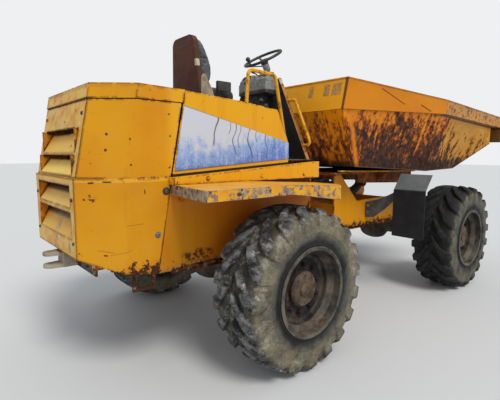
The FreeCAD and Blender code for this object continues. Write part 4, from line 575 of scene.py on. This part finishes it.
def seat_moulding():
    """Brown moulded shell over a black pan, with a pale blank patch on its right side."""
    f = Finish("seat_shell")
    z = f.z
    fine = f.noise(180, 4, 0.6)
    shell = f.blend(f.spots(0.38, 0.64, 7, 4, 0.6), (92, 54, 40), (74, 44, 34))
    f.colour = f.blend(f.step(z, 2.028, 2.034), (30, 30, 31), shell)
    sticker = f.patch(("x", -1.434, -1.398), ("z", 2.248, 2.302), ("y", -0.25, -0.16))
    f.coat(sticker * 0.85, (206, 196, 168))
    dust = f.step(f.nz, 0.2, 0.8) * f.spots(0.38, 0.66, 9, 5, 0.7, shift=3.0)
    f.coat(dust * 0.5, DUST)
    f.coat(f.edges(0.006) * 0.3, (132, 100, 84))
    return f.set(0.52 + fine * 0.2, f.bump(fine, 0.0006, 0.6), Specular_IOR_Level=0.25)


def seat_cloth():
    """Grey-green vinyl on the backrest, near black on the seat."""
    f = Finish("seat_vinyl")
    z = f.z
    tone = f.noise(9, 6, 0.7)
    fine = f.noise(240, 4, 0.6)
    back = f.blend(f.step(tone, 0.38, 0.64), (70, 76, 78), (96, 100, 100))
    seat_top = f.blend(f.step(tone, 0.38, 0.64), (38, 38, 39), (62, 62, 61))
    f.colour = f.blend(f.step(z, 2.092, 2.097), seat_top, back)
    dust = f.step(f.nz, 0.2, 0.9) * f.spots(0.36, 0.68, 6, 6, 0.7, shift=9.0)
    f.coat(dust * 0.45, (150, 146, 134))
    return f.set(0.5 + fine * 0.15, f.bump(fine, 0.0006, 0.6), Specular_IOR_Level=0.35)


def footplate_paint():
    """A trodden plate: scuffed on top, its turned-down lip chipped to grey primer and brown rust."""
    f = Finish("footplate_paint")
    cloud = f.noise(7, 6, 0.7, shift=3.0)
    fine = f.noise(55, 6, 0.7, shift=1.0)
    up = f.step(f.nz, 0.6, 0.9)
    f.colour = f.blend(f.step(cloud, 0.36, 0.66), (230, 166, 30), (216, 144, 22))
    f.coat(up * f.spots(0.4, 0.6, 4, 5, 0.65, shift=7.0) * 0.55, (238, 186, 84))
    trodden = f.spots(0.6, 0.66, 16, 6, 0.7, stretch=(0.45, 1.8, 1.0), shift=11.0)
    f.coat(up * trodden * 0.8, (126, 82, 44))
    soil = f.spots(0.6, 0.68, 30, 7, 0.75, stretch=(0.6, 1.4, 1.0), shift=17.0)
    f.coat(up * soil * 0.6, (150, 112, 66))
    lip = f.less(f.step(abs(f.nz), 0.5, 0.8))
    chipped = f.noise(17, 7, 0.75, stretch=(0.8, 1.0, 1.0), shift=23.0)
    ends = f.most(f.step(f.nx, -0.3, -0.6), f.step(f.nx, 0.3, 0.6))
    low = f.step(chipped, 0.5, 0.54)
    bare = f.most(lip * low, lip * ends * f.step(chipped, 0.3, 0.4))
    edge = f.edges(0.01) * f.step(chipped, 0.4, 0.46)
    bare = f.most(bare, edge)
    primer = f.blend(f.spots(0.4, 0.6, 22, 5, 0.7, shift=29.0), (122, 108, 100), (170, 152, 130))
    f.coat(bare * 0.95, primer)
    rust = bare * f.spots(0.54, 0.6, 26, 6, 0.7, shift=31.0)
    f.coat(rust, f.blend(fine, (96, 58, 38), (60, 40, 32)))
    under = f.step(f.nz, -0.5, -0.8)
    f.coat(under * 0.6, (96, 66, 36))
    # Painted shade: dark brown in corners and recesses.
    f.coat(f.step(f.crevices(0.05), 0.3, 0.8) * 0.7, (70, 48, 26))
    peel = f.bump(fine * 0.3 - bare, 0.0014, 0.7, f.bump(f.noise(3, 3), 0.015, 0.4))
    return f.set(f.calc("ADD", 0.42, bare * 0.3, clamp=True), peel, Specular_IOR_Level=0.25)


def mudguard_grey():
    """Bare grey plate, paler on top and along its edges."""
    f = Finish("grey_plate")
    tone = f.noise(9, 6, 0.7)
    fine = f.noise(60, 5, 0.65, shift=2.0)
    f.colour = f.blend(f.step(tone, 0.38, 0.64), (68, 74, 78), (96, 100, 102))
    f.coat(f.step(f.nz, 0.3, 0.8) * 0.5, (146, 150, 150))
    f.coat(f.edges(0.006) * f.step(tone, 0.35, 0.55) * 0.8, (170, 168, 158))
    stained = f.spots(0.62, 0.7, 12, 6, 0.7, shift=5.0) * 0.6
    f.coat(stained, (92, 70, 54))
    return f.set(0.45 + fine * 0.2, f.bump(fine, 0.0012, 0.5), Specular_IOR_Level=0.3)


def dash_plastic():
    """Black plastic, its top grey with dust."""
    f = Finish("dash_black")
    tone = f.noise(14, 6, 0.7)
    fine = f.noise(80, 5, 0.65, shift=2.0)
    f.colour = f.blend(f.step(tone, 0.4, 0.65), (40, 41, 42), (74, 74, 72))
    top = f.step(f.z, 2.135, 2.15) * f.step(tone, 0.26, 0.5)
    f.coat(top * 0.85, f.blend(f.step(fine, 0.4, 0.6), (128, 130, 128), (168, 168, 162)))
    return f.set(0.5 + fine * 0.2, f.bump(fine, 0.001, 0.5), Specular_IOR_Level=0.35)


def guard_black():
    """Black plate, its turned edges worn to the yellow under the black."""
    f = Finish("guard_paint")
    tone = f.noise(8, 5, 0.6)
    f.colour = f.blend(f.step(tone, 0.4, 0.65), (30, 30, 31), (46, 44, 42))
    flange = f.step(abs(f.ny), 0.5, 0.8)
    worn = flange * f.spots(0.36, 0.52, 13, 5, 0.7, shift=6.0)
    f.coat(worn, f.blend(f.noise(30, 4), (206, 132, 22), (150, 84, 22)))
    sticker = f.patch(("x", -0.58, -0.51), ("y", -0.278, -0.238), ("z", 2.19, 2.235))
    f.coat(sticker * 0.8, (186, 184, 176))
    dust = f.most(f.step(f.nz, 0.2, 0.9), f.crevices(0.05)) * f.spots(0.35, 0.7, 7, 6, 0.7, shift=9.0)
    f.coat(dust * 0.4, DUST)
    fine = f.noise(60, 5, 0.65, shift=2.0)
    return f.set(0.46 + fine * 0.2, f.bump(fine, 0.0012, 0.5))


def finishes():
    """The record's material slots, each with its finish."""
    made = {
        "yellow_paint": painted("yellow_paint", YELLOW, YELLOW_DEEP, 0.8, (0.76, 0.98), bright=(230, 168, 22)),
        "chassis_paint": painted("chassis_paint", (206, 136, 14), (190, 112, 12), 0.8, (0.70, 0.92), 0.15,
                                 bright=(220, 150, 20), mud=0.8),
        "footplate_paint": footplate_paint(),
        "rail_paint": painted("rail_paint", (226, 162, 24), (214, 140, 16), 0.6),
        "guard_paint": guard_black(),
        "skip_paint": belly_paint(),
        "blue_white_panel": inset_panel(),
        "dash_black": dash_plastic(),
        "seat_shell": seat_moulding(),
        "seat_vinyl": seat_cloth(),
        "rim_black": rim_paint(),
        "tyre_rubber": tyre_rubber(),
        "grey_plate": mudguard_grey(),
    }
    # Two tones, roughness, dust, rust and metal.
    for name, row in {
        "floor_plate": ((70, 64, 56), (52, 46, 40), 0.7, 0.7, 0.4),
        "black_paint": (BLACK, (48, 46, 45), 0.45, 0.4, 0.1),
        "wheel_plastic": ((28, 29, 31), (44, 45, 47), 0.35, 0.25),
        "axle_iron": ((52, 46, 40), (74, 62, 50), 0.75, 0.7, 0.35),
        "engine_iron": ((46, 46, 46), (66, 64, 62), 0.6, 0.5),
        "radiator_black": ((26, 26, 26), (44, 42, 40), 0.6, 0.6),
        "rusty_steel": ((168, 156, 134), (130, 116, 96), 0.6, 0.5, 0.35),
        "rod_chrome": ((176, 176, 176), (150, 148, 144), 0.22, 0.2, 0.0, 1.0),
        "flap_rubber": ((19, 22, 28), (30, 34, 40), 0.6, 0.05),
    }.items():
        made[name] = plain(name, *row)
    slots = {row["node"]: row["material_slot"] for row in frame["record"]["subparts"]}
    for name, item in nodes.items():
        item.data.materials.clear()
        item.data.materials.append(made[slots[name]])
    return made


# Shapes

def around(count, turn=0.0):
    """The cosine and sine of evenly spaced angles."""
    for i in range(count):
        angle = 2 * math.pi * i / count + turn
        yield math.cos(angle), math.sin(angle)


def wheels():
    """Each wheel's name, the side it is on as -1 or 1, and its middle's x."""
    for end, centre in AXLES.items():
        for name, side in SIDES.items():
            yield f"{end}_{name}", side, centre


def placed(name, data):
    item = bpy.data.objects.new(name, data)
    bpy.context.scene.collection.objects.link(item)
    return item


class Solids:
    """Corners and faces of one mesh, gathered from simple solids."""

    def __init__(self):
        self.places = []
        self.faces = []

    def rings(self, rings, capped=True):
        """A skin over rings of as many corners each."""
        start = len(self.places)
        count = len(rings[0])
        for ring in rings:
            self.places.extend(ring)
        for i in range(len(rings) - 1):
            for j in range(count):
                a = start + i * count + j
                b = start + i * count + (j + 1) % count
                self.faces.append((a, b, b + count, a + count))
        if capped:
            self.faces.append(tuple(range(start + count - 1, start - 1, -1)))
            last = start + (len(rings) - 1) * count
            self.faces.append(tuple(range(last, last + count)))

    def turned(self, place, way, profile, sides=6):
        """A solid of revolution: profile is a list of (distance along way, radius)."""
        place = Vector(place)
        way = Vector(way).normalized()
        one = way.orthogonal().normalized()
        two = way.cross(one)
        self.rings([[place + way * along + (one * c + two * s) * radius for c, s in around(sides)]
                    for along, radius in profile])

    def bolt(self, place, way, radius=0.010, height=0.007):
        """A washer with a six-sided head on it."""
        self.turned(place, way, ((-0.001, radius * 1.45), (0.0015, radius * 1.45)), 20)
        self.turned(place, way, ((0.001, radius), (height * 0.8, radius), (height, radius * 0.82)), 6)

    def dome(self, place, way, radius, height):
        """A round head."""
        steps = [(height * math.sin(a), radius * math.cos(a)) for a in (0.0, 0.35, 0.7, 1.05, 1.4)]
        self.turned(place, way, [(-0.001, radius)] + steps, 20)

    def block(self, low, high):
        (a, b, c), (x, y, z) = low, high
        self.rings([[Vector(p) for p in ((a, b, level), (x, b, level), (x, y, level), (a, y, level))]
                    for level in (c, z)])

    def slab(self, outline, one, two):
        """An outline of (x, z) points between two y."""
        self.rings([[Vector((x, y, z)) for x, z in outline] for y in sorted((one, two))])

    def tube(self, points, radius, sides=8):
        """A round bar along points."""
        points = [Vector(point) for point in points]
        rings = []
        for i, point in enumerate(points):
            way = (points[min(i + 1, len(points) - 1)] - points[max(i - 1, 0)]).normalized()
            one = way.cross(Vector((0.13, 0.21, 0.97))).normalized()
            two = way.cross(one)
            rings.append([point + (one * c + two * s) * radius for c, s in around(sides)])
        self.rings(rings)

    def mesh(self, name):
        mesh = bpy.data.meshes.new(name)
        mesh.from_pydata([tuple(place) for place in self.places], [], self.faces)
        return mesh

    def done(self, name, slot, body="rear_chassis", angle=35, merge=0.0, bevel=0.0):
        """The mesh as a piece that rides on a body, with the finish of one of the record's slots."""
        mesh = self.mesh(name)
        work = bmesh.new()
        work.from_mesh(mesh)
        if merge:
            bmesh.ops.remove_doubles(work, verts=work.verts, dist=merge)
        bmesh.ops.recalc_face_normals(work, faces=work.faces)
        work.to_mesh(mesh)
        work.free()
        mesh.polygons.foreach_set("use_smooth", [True] * len(mesh.polygons))
        mesh.set_sharp_from_angle(angle=math.radians(angle))
        mesh.materials.append(made[slot])
        item = placed(name, mesh)
        if bevel:
            soften(item, bevel)
        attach(item, body)
        return item


def soften(item, width):
    bevel = item.modifiers.new("bevel", "BEVEL")
    bevel.width = width
    bevel.segments = 2
    bevel.limit_method = "ANGLE"
    bevel.angle_limit = math.radians(24)
    bevel.harden_normals = True


def soften_edges():
    """Gives the CAD sheet metal a small rounding at each sharp edge, so that edges catch light."""
    widths = {"skip_shell": 0.004, "rear_body_lower": 0.004, "seat_base": 0.010, "dash_box": 0.012,
              "engine_block": 0.012, "pivot_block": 0.005, "tow_hitch": 0.004}
    untouched = ("tyre_", "rim_", "seat_cushion", "seat_back", "steering_wheel", "grab_rails", "_rod", "_barrel",
                 "control_levers", "_axle")
    for name, item in nodes.items():
        if not any(part in name for part in untouched):
            item.modifiers.new("weld", "WELD").merge_threshold = 0.00002
            soften(item, widths.get(name, 0.0025))


# Rows across one half of the tread: in from the sidewall on a lug and beside it, radius on and beside it, and the
# turns in degrees of the lug's foot, top edge, other top edge and other foot.
TREAD = (
    (0.0004, 0.0004, 0.4240, 0.424, -2.2, -1.2, 1.2, 2.2),
    (0.0004, 0.0050, 0.4420, 0.440, -2.9, -1.9, 1.9, 2.9),
    (0.0010, 0.0110, 0.4700, 0.466, -3.6, -2.6, 2.6, 3.6),
    (0.0030, 0.0170, 0.5030, 0.494, -4.2, -3.0, 3.0, 4.2),
    (0.0060, 0.0220, 0.5340, 0.514, -4.5, -3.3, 3.3, 4.5),
    (0.0120, 0.0300, 0.5560, 0.530, -4.7, -3.5, 3.3, 4.5),
    (0.0200, 0.0380, 0.5650, 0.540, -5.0, -3.8, 3.0, 4.2),
    (0.0400, 0.0500, 0.5730, 0.545, -6.2, -5.0, 1.9, 3.1),
    (0.0700, 0.0750, 0.5810, 0.549, -8.2, -7.0, 0.1, 1.3),
    (0.1050, 0.1050, 0.5870, 0.552, -10.4, -9.2, -2.8, -1.6),
    (0.1400, 0.1400, 0.5880, 0.552, -15.0, -13.9, -8.6, -7.5),
    (0.1750, 0.1750, 0.5893, 0.552, -19.6, -18.5, -14.4, -13.3),
    (0.1980, 0.1980, 0.5897, 0.552, -22.4, -21.5, -18.2, -16.9),
    (0.2060, 0.2040, 0.5860, 0.552, -23.2, -22.2, -18.8, -17.4),
    (0.2130, 0.2110, 0.5560, 0.552, -23.6, -22.4, -19.0, -17.6),
)
# In from the sidewall and radius, from the bead to the widest part.
SIDEWALL = ((0.030, 0.300), (0.024, 0.306), (0.016, 0.316), (0.012, 0.326), (0.012, 0.338), (0.0185, 0.346),
            (0.015, 0.362), (0.006, 0.385), (0.002, 0.404), (0.0035, 0.408), (0.0035, 0.412), (0.0005, 0.416))
CROWN_RADIUS = 0.552


def tread_rows():
    """The tread's rows with more between them where they lie far apart."""
    rows = []
    for one, two in zip(TREAD, TREAD[1:]):
        parts = max(1, round((two[1] - one[1]) / 0.013))
        for i in range(parts):
            rows.append([a + (b - a) * i / parts for a, b in zip(one, two)])
    return rows + [list(TREAD[-1])]


def half_tyre(solids, half, side, centre):
    """One half of a tyre; half is -1 for its outer half and 1 for its inner one, with lugs half a pitch further on."""
    pitch = 360 / LUGS
    start = -69.7 + (0 if half < 0 else pitch / 2)
    extra = 1.1 if centre < 0 else 0.5

    def corner(turn, inward, radius):
        angle = math.radians(start + turn)
        out = inward if half < 0 else TYRE_WIDTH - inward
        return Vector((centre + radius * math.cos(angle), side * (OUTER_Y - out),
                       TYRE_RADIUS + radius * math.sin(angle)))

    def even(shift, inward, radius):
        return [corner(pitch * (k + j / 12) + shift, inward, radius) for k in range(LUGS) for j in range(12)]

    rings = [even(-2.6, inward, radius) for inward, radius in SIDEWALL]
    for on_lug, beside, radius, low_radius, foot, top, far_top, far_foot in tread_rows():
        foot, top, far_top, far_foot = foot - extra, top - extra, far_top + extra, far_foot + extra
        stands = radius > low_radius + 0.012
        ring = []
        for k in range(LUGS):
            base = k * pitch
            ring.append(corner(base + foot, beside, low_radius))
            for share in (0.0, 0.1, 0.5, 0.9, 1.0):
                rounding = 0.003 if stands and share in (0.0, 1.0) else 0.0
                ring.append(corner(base + top + (far_top - top) * share, on_lug, radius - rounding))
            for share in (0.0, 0.25, 0.5, 0.75, 0.97):
                ring.append(corner(base + far_foot + (pitch + foot - far_foot) * share, beside, low_radius))
            ring.append(corner(base + pitch + foot - 0.15, beside, low_radius))
        rings.append(ring)
    rings.append(even(-23.9, TYRE_WIDTH / 2, CROWN_RADIUS))
    solids.rings(rings, capped=False)


def tyres():
    """Each tyre with the CAD tyre's lugs, rounded off, and with ribs on its sidewalls."""
    for name, side, centre in wheels():
        solids = Solids()
        half_tyre(solids, -1, side, centre)
        half_tyre(solids, 1, side, centre)
        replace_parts(solids.done(f"lugged_tyre_{name}", "tyre_rubber", f"wheel_{name}", 38, 0.0004), f"tyre_{name}")


def wheel_fasteners():
    """Nuts on each wheel's disc, small bolts and a plug on its hub cover, and a valve."""
    nut_circle, bolt_circle = 0.172, 0.100
    for name, side, centre in wheels():
        nuts = Solids()
        way = (0, side, 0)
        for c, s in around(10, 0.2):
            x, z = centre + nut_circle * c, TYRE_RADIUS + nut_circle * s
            nuts.turned((x, side * 1.117, z), way, ((0, 0.024), (0.004, 0.024)), 20)
            nuts.turned((x, side * 1.120, z), way, ((0, 0.017), (0.016, 0.017), (0.019, 0.014)), 6)
            nuts.turned((x, side * 1.135, z), way, ((0, 0.009), (0.015, 0.009), (0.017, 0.007)), 12)
        for c, s in around(8):
            nuts.bolt((centre + bolt_circle * c, side * 1.1600, TYRE_RADIUS + bolt_circle * s), way, 0.007, 0.005)
        nuts.turned((centre, side * 1.159, TYRE_RADIUS), way, ((0, 0.052), (0.008, 0.050), (0.012, 0.044)), 32)
        nuts.turned((centre + 0.03, side * 1.170, TYRE_RADIUS + 0.01), way, ((0, 0.010), (0.006, 0.010)), 6)
        nuts.tube([(centre - 0.20, side * 1.12, TYRE_RADIUS + 0.155),
                   (centre - 0.20, side * 1.17, TYRE_RADIUS + 0.160)], 0.006)
        nuts.done(f"wheel_nuts_{name}", "rim_black", f"wheel_{name}")


def pillow(sections):
    """A soft block from sections (z, rear x, front x, half width): rounded at its four upright edges."""
    shape = Solids()
    shape.rings([[Vector(((rear + front) / 2 + (front - rear) / 2 * math.copysign(abs(c) ** 0.45, c),
                          half * math.copysign(abs(s) ** 0.30, s), z)) for c, s in around(40)]
                 for z, rear, front, half in sections])
    return shape.mesh("pillow")


def applied(item):
    """The item's mesh as its modifiers leave it; the modifiers are taken off."""
    view = bpy.context.evaluated_depsgraph_get()
    mesh = bpy.data.meshes.new_from_object(item.evaluated_get(view))
    item.modifiers.clear()
    return mesh


def plump(mesh, node, name, cap, channels, rest):
    """A cushion blown up a little by cloth simulation, with sewn channels, and flat where it rests.

    channels are (axis, place) of each seam, and rest keeps a place on the right side of what is behind it.
    """
    low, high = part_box(node)
    middle = (low + high) / 2
    item = placed(name, mesh)
    remesh = item.modifiers.new("remesh", "REMESH")
    remesh.mode = "VOXEL"
    remesh.voxel_size = 0.006
    item.modifiers.new("relax", "SMOOTH").iterations = 12
    item.data = applied(item)
    start = [vertex.co.copy() for vertex in item.data.vertices]
    cloth = item.modifiers.new("cloth", "CLOTH")
    cloth.settings.use_pressure = True
    cloth.settings.uniform_pressure_force = 4
    cloth.settings.effector_weights.gravity = 0
    for step in range(1, 21):
        bpy.context.scene.frame_set(step)
    item.data = applied(item)
    bpy.context.scene.frame_set(1)
    groove = 0.007
    for vertex, before in zip(item.data.vertices, start):
        move = vertex.co - before
        if move.length > cap:
            vertex.co = before + move.normalized() * cap
        depth = 0.0
        for axis, place in channels:
            gap = (vertex.co["xyz".index(axis)] - place) / groove
            depth += groove * math.exp(-gap * gap)
        vertex.co += (middle - vertex.co).normalized() * depth
        rest(vertex.co)
    item.modifiers.new("evened", "SMOOTH").iterations = 4
    smooth = item.modifiers.new("subdivision", "SUBSURF")
    smooth.levels = smooth.render_levels = 1
    item.data = applied(item)
    item.data.polygons.foreach_set("use_smooth", [True] * len(item.data.polygons))
    item.data.materials.clear()
    item.data.materials.append(made["seat_vinyl"])
    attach(item, "rear_chassis")
    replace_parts(item, node)


def seat():
    """Two padded cushions, and what is screwed to the seat."""
    low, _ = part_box("seat_cushion")
    shell, front, half = -1.3998, -1.2715, 0.2120

    def on_pan(place):
        place.z = max(place.z, low.z + 0.0005)
        place.x = max(place.x, low.x - 0.004)

    def on_shell(place):
        place.x = min(max(place.x, shell), front)
        place.y = max(-half, min(half, place.y))

    cushion = [(1.998 + 0.081 * share, -1.358 + inset, -1.010 - inset, 0.200 - inset)
               for share, inset in ((0.0, 0.010), (0.12, 0.003), (0.5, 0.0), (0.85, 0.004), (1.0, 0.016))]
    plump(pillow(cushion), "seat_cushion", "cushion_padding", 0.022, (("y", -0.115), ("y", 0.115)), on_pan)
    back = [(2.100, -1.396, -1.330, 0.188), (2.118, -1.397, -1.306, 0.196), (2.150, -1.398, -1.288, 0.201),
            (2.200, -1.398, -1.281, 0.203), (2.260, -1.398, -1.286, 0.203), (2.320, -1.398, -1.304, 0.202),
            (2.380, -1.398, -1.330, 0.198), (2.430, -1.398, -1.352, 0.188), (2.462, -1.398, -1.368, 0.170),
            (2.480, -1.398, -1.380, 0.145)]
    plump(pillow(back), "seat_back", "backrest_padding", 0.024, (("z", 2.315),), on_shell)
    bracket = [(-1.404, 2.00), (-1.270, 1.99), (-1.290, 2.06), (-1.330, 2.13), (-1.345, 2.165), (-1.362, 2.182),
               (-1.384, 2.184), (-1.400, 2.168), (-1.404, 2.13)]
    bits, adjuster, runners = Solids(), Solids(), Solids()
    for side in (-1, 1):
        bits.slab(bracket, side * 0.2105, side * 0.2155)
        for x, z in ((-1.385, 2.025), (-1.300, 2.015)):
            bits.bolt((x, side * 0.2155, z), (0, side, 0), 0.008)
        bits.turned((-1.374, side * 0.2150, 2.155), (0, side, 0), ((0, 0.024), (0.004, 0.023), (0.006, 0.018)), 28)
        bits.turned((-1.374, side * 0.2200, 2.155), (0, side, 0), ((0, 0.008), (0.006, 0.008)), 6)
        runners.block((-1.34, side * 0.175 - 0.018, 1.945), (-1.04, side * 0.175 + 0.018, 1.969))
    adjuster.block((-1.255, -0.2420, 2.060), (-1.118, -0.2105, 2.142))
    adjuster.block((-1.4395, -0.075, 2.418), (-1.4330, 0.075, 2.432))
    bits.done("seat_brackets", "rusty_steel", bevel=0.0012)
    adjuster.done("seat_adjuster", "black_paint", bevel=0.003)
    runners.done("seat_runners", "rusty_steel", bevel=0.002)


def dash():
    """Two small instrument housings beside the column, with dials, switches and lever boots."""
    housing, dials, stalk, boots = (Solids() for _ in range(4))
    wedge = [(-0.668, 2.2195), (-0.668, 2.246), (-0.612, 2.308), (-0.560, 2.308), (-0.545, 2.2195)]
    housing.slab(wedge, -0.190, -0.045)
    housing.slab(wedge, 0.045, 0.190)
    way = (-0.742, 0, 0.670)
    for y, radius in ((0.085, 0.030), (0.155, 0.020), (-0.160, 0.020)):
        dials.turned((-0.640, y, 2.277), way, ((-0.002, radius), (0.006, radius), (0.007, radius * 0.92),
                                               (0.003, radius * 0.90)), 32)
    for i in range(3):
        dials.turned((-0.640, -0.070 - 0.028 * i, 2.277), way, ((-0.002, 0.010), (0.010, 0.008)), 4)
    stalk.tube([(-0.560, -0.030, 2.262), (-0.640, -0.045, 2.288), (-0.700, -0.055, 2.305)], 0.006)
    stalk.turned((-0.695, -0.054, 2.303), (-0.95, -0.14, 0.28),
                 ((0, 0.010), (0.012, 0.014), (0.028, 0.014), (0.034, 0.008)), 16)
    boot = ((0, 0.028), (0.010, 0.028), (0.014, 0.022), (0.022, 0.025), (0.028, 0.018), (0.036, 0.021), (0.042, 0.014),
            (0.056, 0.012))
    for x, y in ((-0.7575, -0.290), (-0.7575, -0.350), (-0.6975, -0.410)):
        boots.turned((x, y, 1.4955), (-0.06, 0, 0.99), boot, 20)
    housing.done("dash_housings", "dash_black", bevel=0.006)
    dials.done("dash_dials", "wheel_plastic")
    stalk.done("column_stalk", "wheel_plastic")
    boots.done("lever_boots", "flap_rubber")


def fasteners():
    """Bolts, latches and round heads on the panels, chassis and mudguards."""
    heads, rusty, dark, steel, front = (Solids() for _ in range(5))
    for side in (-1, 1):
        across = (0, side, 0)
        for x, z in ((-2.218, 1.629), (-1.946, 1.655), (-1.951, 1.794), (-2.217, 1.473)):
            rusty.dome((x, side * HOUSING_SIDE, z), across, 0.0065, 0.003)
        for x, y, z in ((-2.320, 0.551, 1.658), (-2.332, 0.557, 1.562)):
            dark.dome((x, side * y, z), (-0.69, side * 0.72, 0.13), 0.009, 0.004)
        for x in (-1.70, -1.20, -0.72):
            heads.bolt((x, side * 0.725, 1.375), across, 0.012, 0.009)
        for x, y, z in ((-2.406, 0.394, 1.788), (-2.463, 0.381, 1.488),
                        (-2.4955, 0.405, 1.254), (-2.4955, 0.405, 0.98)):
            dark.turned((x, side * y, z), (-1, 0, 0.1), ((-0.004, 0.012), (0.004, 0.012), (0.008, 0.009)), 20)
        dark.turned((-1.984, side * 0.6545, 1.300), across, ((0, 0.024), (0.006, 0.024), (0.009, 0.020)), 28)
        steel.turned((-1.984, side * 0.6610, 1.300), across, ((0, 0.0135), (0.006, 0.0125), (0.007, 0.009)), 20)
        steel.bolt((-2.048, side * HOUSING_SIDE, 1.018), across, 0.015, 0.010)
        for y, z in ((0.430, 0.880), (0.430, 0.955), (0.780, 1.090)):
            front.bolt((0.7285, side * y, z), (-1, 0, 0), 0.013, 0.010)
        for x in (1.52, 1.675):
            for z in (0.73, 0.79):
                front.bolt((x, side * 0.400, z), across, 0.014, 0.011)
    heads.done("panel_bolts", "yellow_paint")
    rusty.done("panel_rivets", "axle_iron")
    dark.done("panel_latches", "black_paint")
    steel.done("housing_bolts", "grey_plate")
    front.done("front_bolts", "grey_plate", "front_chassis")


def skip_trim():
    """Weld beads at the skip's corners, a rolled edge along its rim, and flat bars between the floor and its frame."""
    rim = [(-0.1275, 0.716, 2.243), (1.2725, 1.026, 2.128), (2.4425, 1.199, 1.996)]
    welds = [[(-0.1275, 0.720, 2.240), (-0.1920, 0.712, 1.956)],
             [(-0.1820, 0.702, 1.954), (0.1025, 0.655, 1.421)],
             [(0.1025, 0.655, 1.420), (1.3225, 0.800, 1.353), (1.9425, 0.850, 1.373)],
             [(1.9425, 0.850, 1.373), (2.3425, 1.120, 1.681)]]
    trim, bars = Solids(), Solids()
    for side in (-1, 1):
        trim.tube([(x, side * y, z) for x, y, z in rim], 0.009, 10)
        for weld in welds:
            trim.tube([(x, side * y, z) for x, y, z in weld], 0.005)
        bars.slab([(0.02, 1.364), (1.55, 1.330), (1.55, 1.343), (0.02, 1.378)], side * 0.521, side * 0.562)
    trim.tube([(-0.1275, -0.716, 2.243), (-0.1275, 0.716, 2.243)], 0.009, 10)
    trim.done("skip_welds", "skip_paint", "skip")
    bars.done("skip_floor_bars", "rail_paint", "skip", bevel=0.002)


# Studio

def turned_to(item, way, roll=0.0):
    """Points a camera or lamp along a direction."""
    item.rotation_mode = "QUATERNION"
    item.rotation_quaternion = Quaternion(-way, roll) @ way.to_track_quat("-Z", "Y")


def camera():
    """The photograph's place and angle, fitted together with the machine's sizes."""
    yaw, pitch, roll = 0.856, -0.118, 0.004
    item = placed("camera", bpy.data.cameras.new("camera"))
    item.location = (-3.2425, -2.939, 1.546)
    turned_to(item, Vector((math.cos(yaw) * math.cos(pitch), math.sin(yaw) * math.cos(pitch), math.sin(pitch))), roll)
    item.data.sensor_width = 36
    item.data.lens = 28.36
    item.data.clip_end = 300
    bpy.context.scene.camera = item


def studio():
    """A pale floor and backdrop, an even sky and one broad lamp."""
    scene = bpy.context.scene
    scene.view_settings.view_transform = "Standard"
    scene.world = bpy.data.worlds.new("studio")
    scene.world.use_nodes = True
    tree = scene.world.node_tree
    light = tree.nodes["Background"]
    light.inputs["Color"].default_value = (0.92, 0.96, 1.0, 1)
    light.inputs["Strength"].default_value = 0.62
    seen, path, either, mix = (tree.nodes.new("ShaderNode" + kind)
                               for kind in ("Background", "LightPath", "Math", "MixShader"))
    seen.inputs["Color"].default_value = (0.86, 0.87, 0.88, 1)
    either.operation = "MAXIMUM"
    for out, into in ((path.outputs["Is Camera Ray"], either.inputs[0]),
                      (path.outputs["Is Transmission Ray"], either.inputs[1]),
                      (either.outputs[0], mix.inputs[0]), (light.outputs[0], mix.inputs[1]),
                      (seen.outputs[0], mix.inputs[2]), (mix.outputs[0], tree.nodes["World Output"].inputs["Surface"])):
        tree.links.new(out, into)
    sun = placed("sun", bpy.data.lights.new("sun", "SUN"))
    sun.data.energy = 1.9
    sun.data.angle = math.radians(22)
    sun.data.color = (1.0, 0.97, 0.92)
    turned_to(sun, Vector((0.10, 0.62, -0.78)))
    floor = bpy.data.meshes.new("floor")
    reach = 60
    corners = [(-reach, -reach, 0), (reach, -reach, 0), (reach, reach, 0), (-reach, reach, 0)]
    floor.from_pydata(corners, [], [(0, 1, 2, 3)])
    material = bpy.data.materials.new("floor")
    material.use_nodes = True
    shader = material.node_tree.nodes["Principled BSDF"]
    shader.inputs["Base Color"].default_value = (0.66, 0.67, 0.68, 1)
    shader.inputs["Roughness"].default_value = 0.9
    floor.materials.append(material)
    placed("floor", floor)


made = finishes()
studio()
camera()
soften_edges()
tyres()
wheel_fasteners()
seat()
dash()
fasteners()
skip_trim()
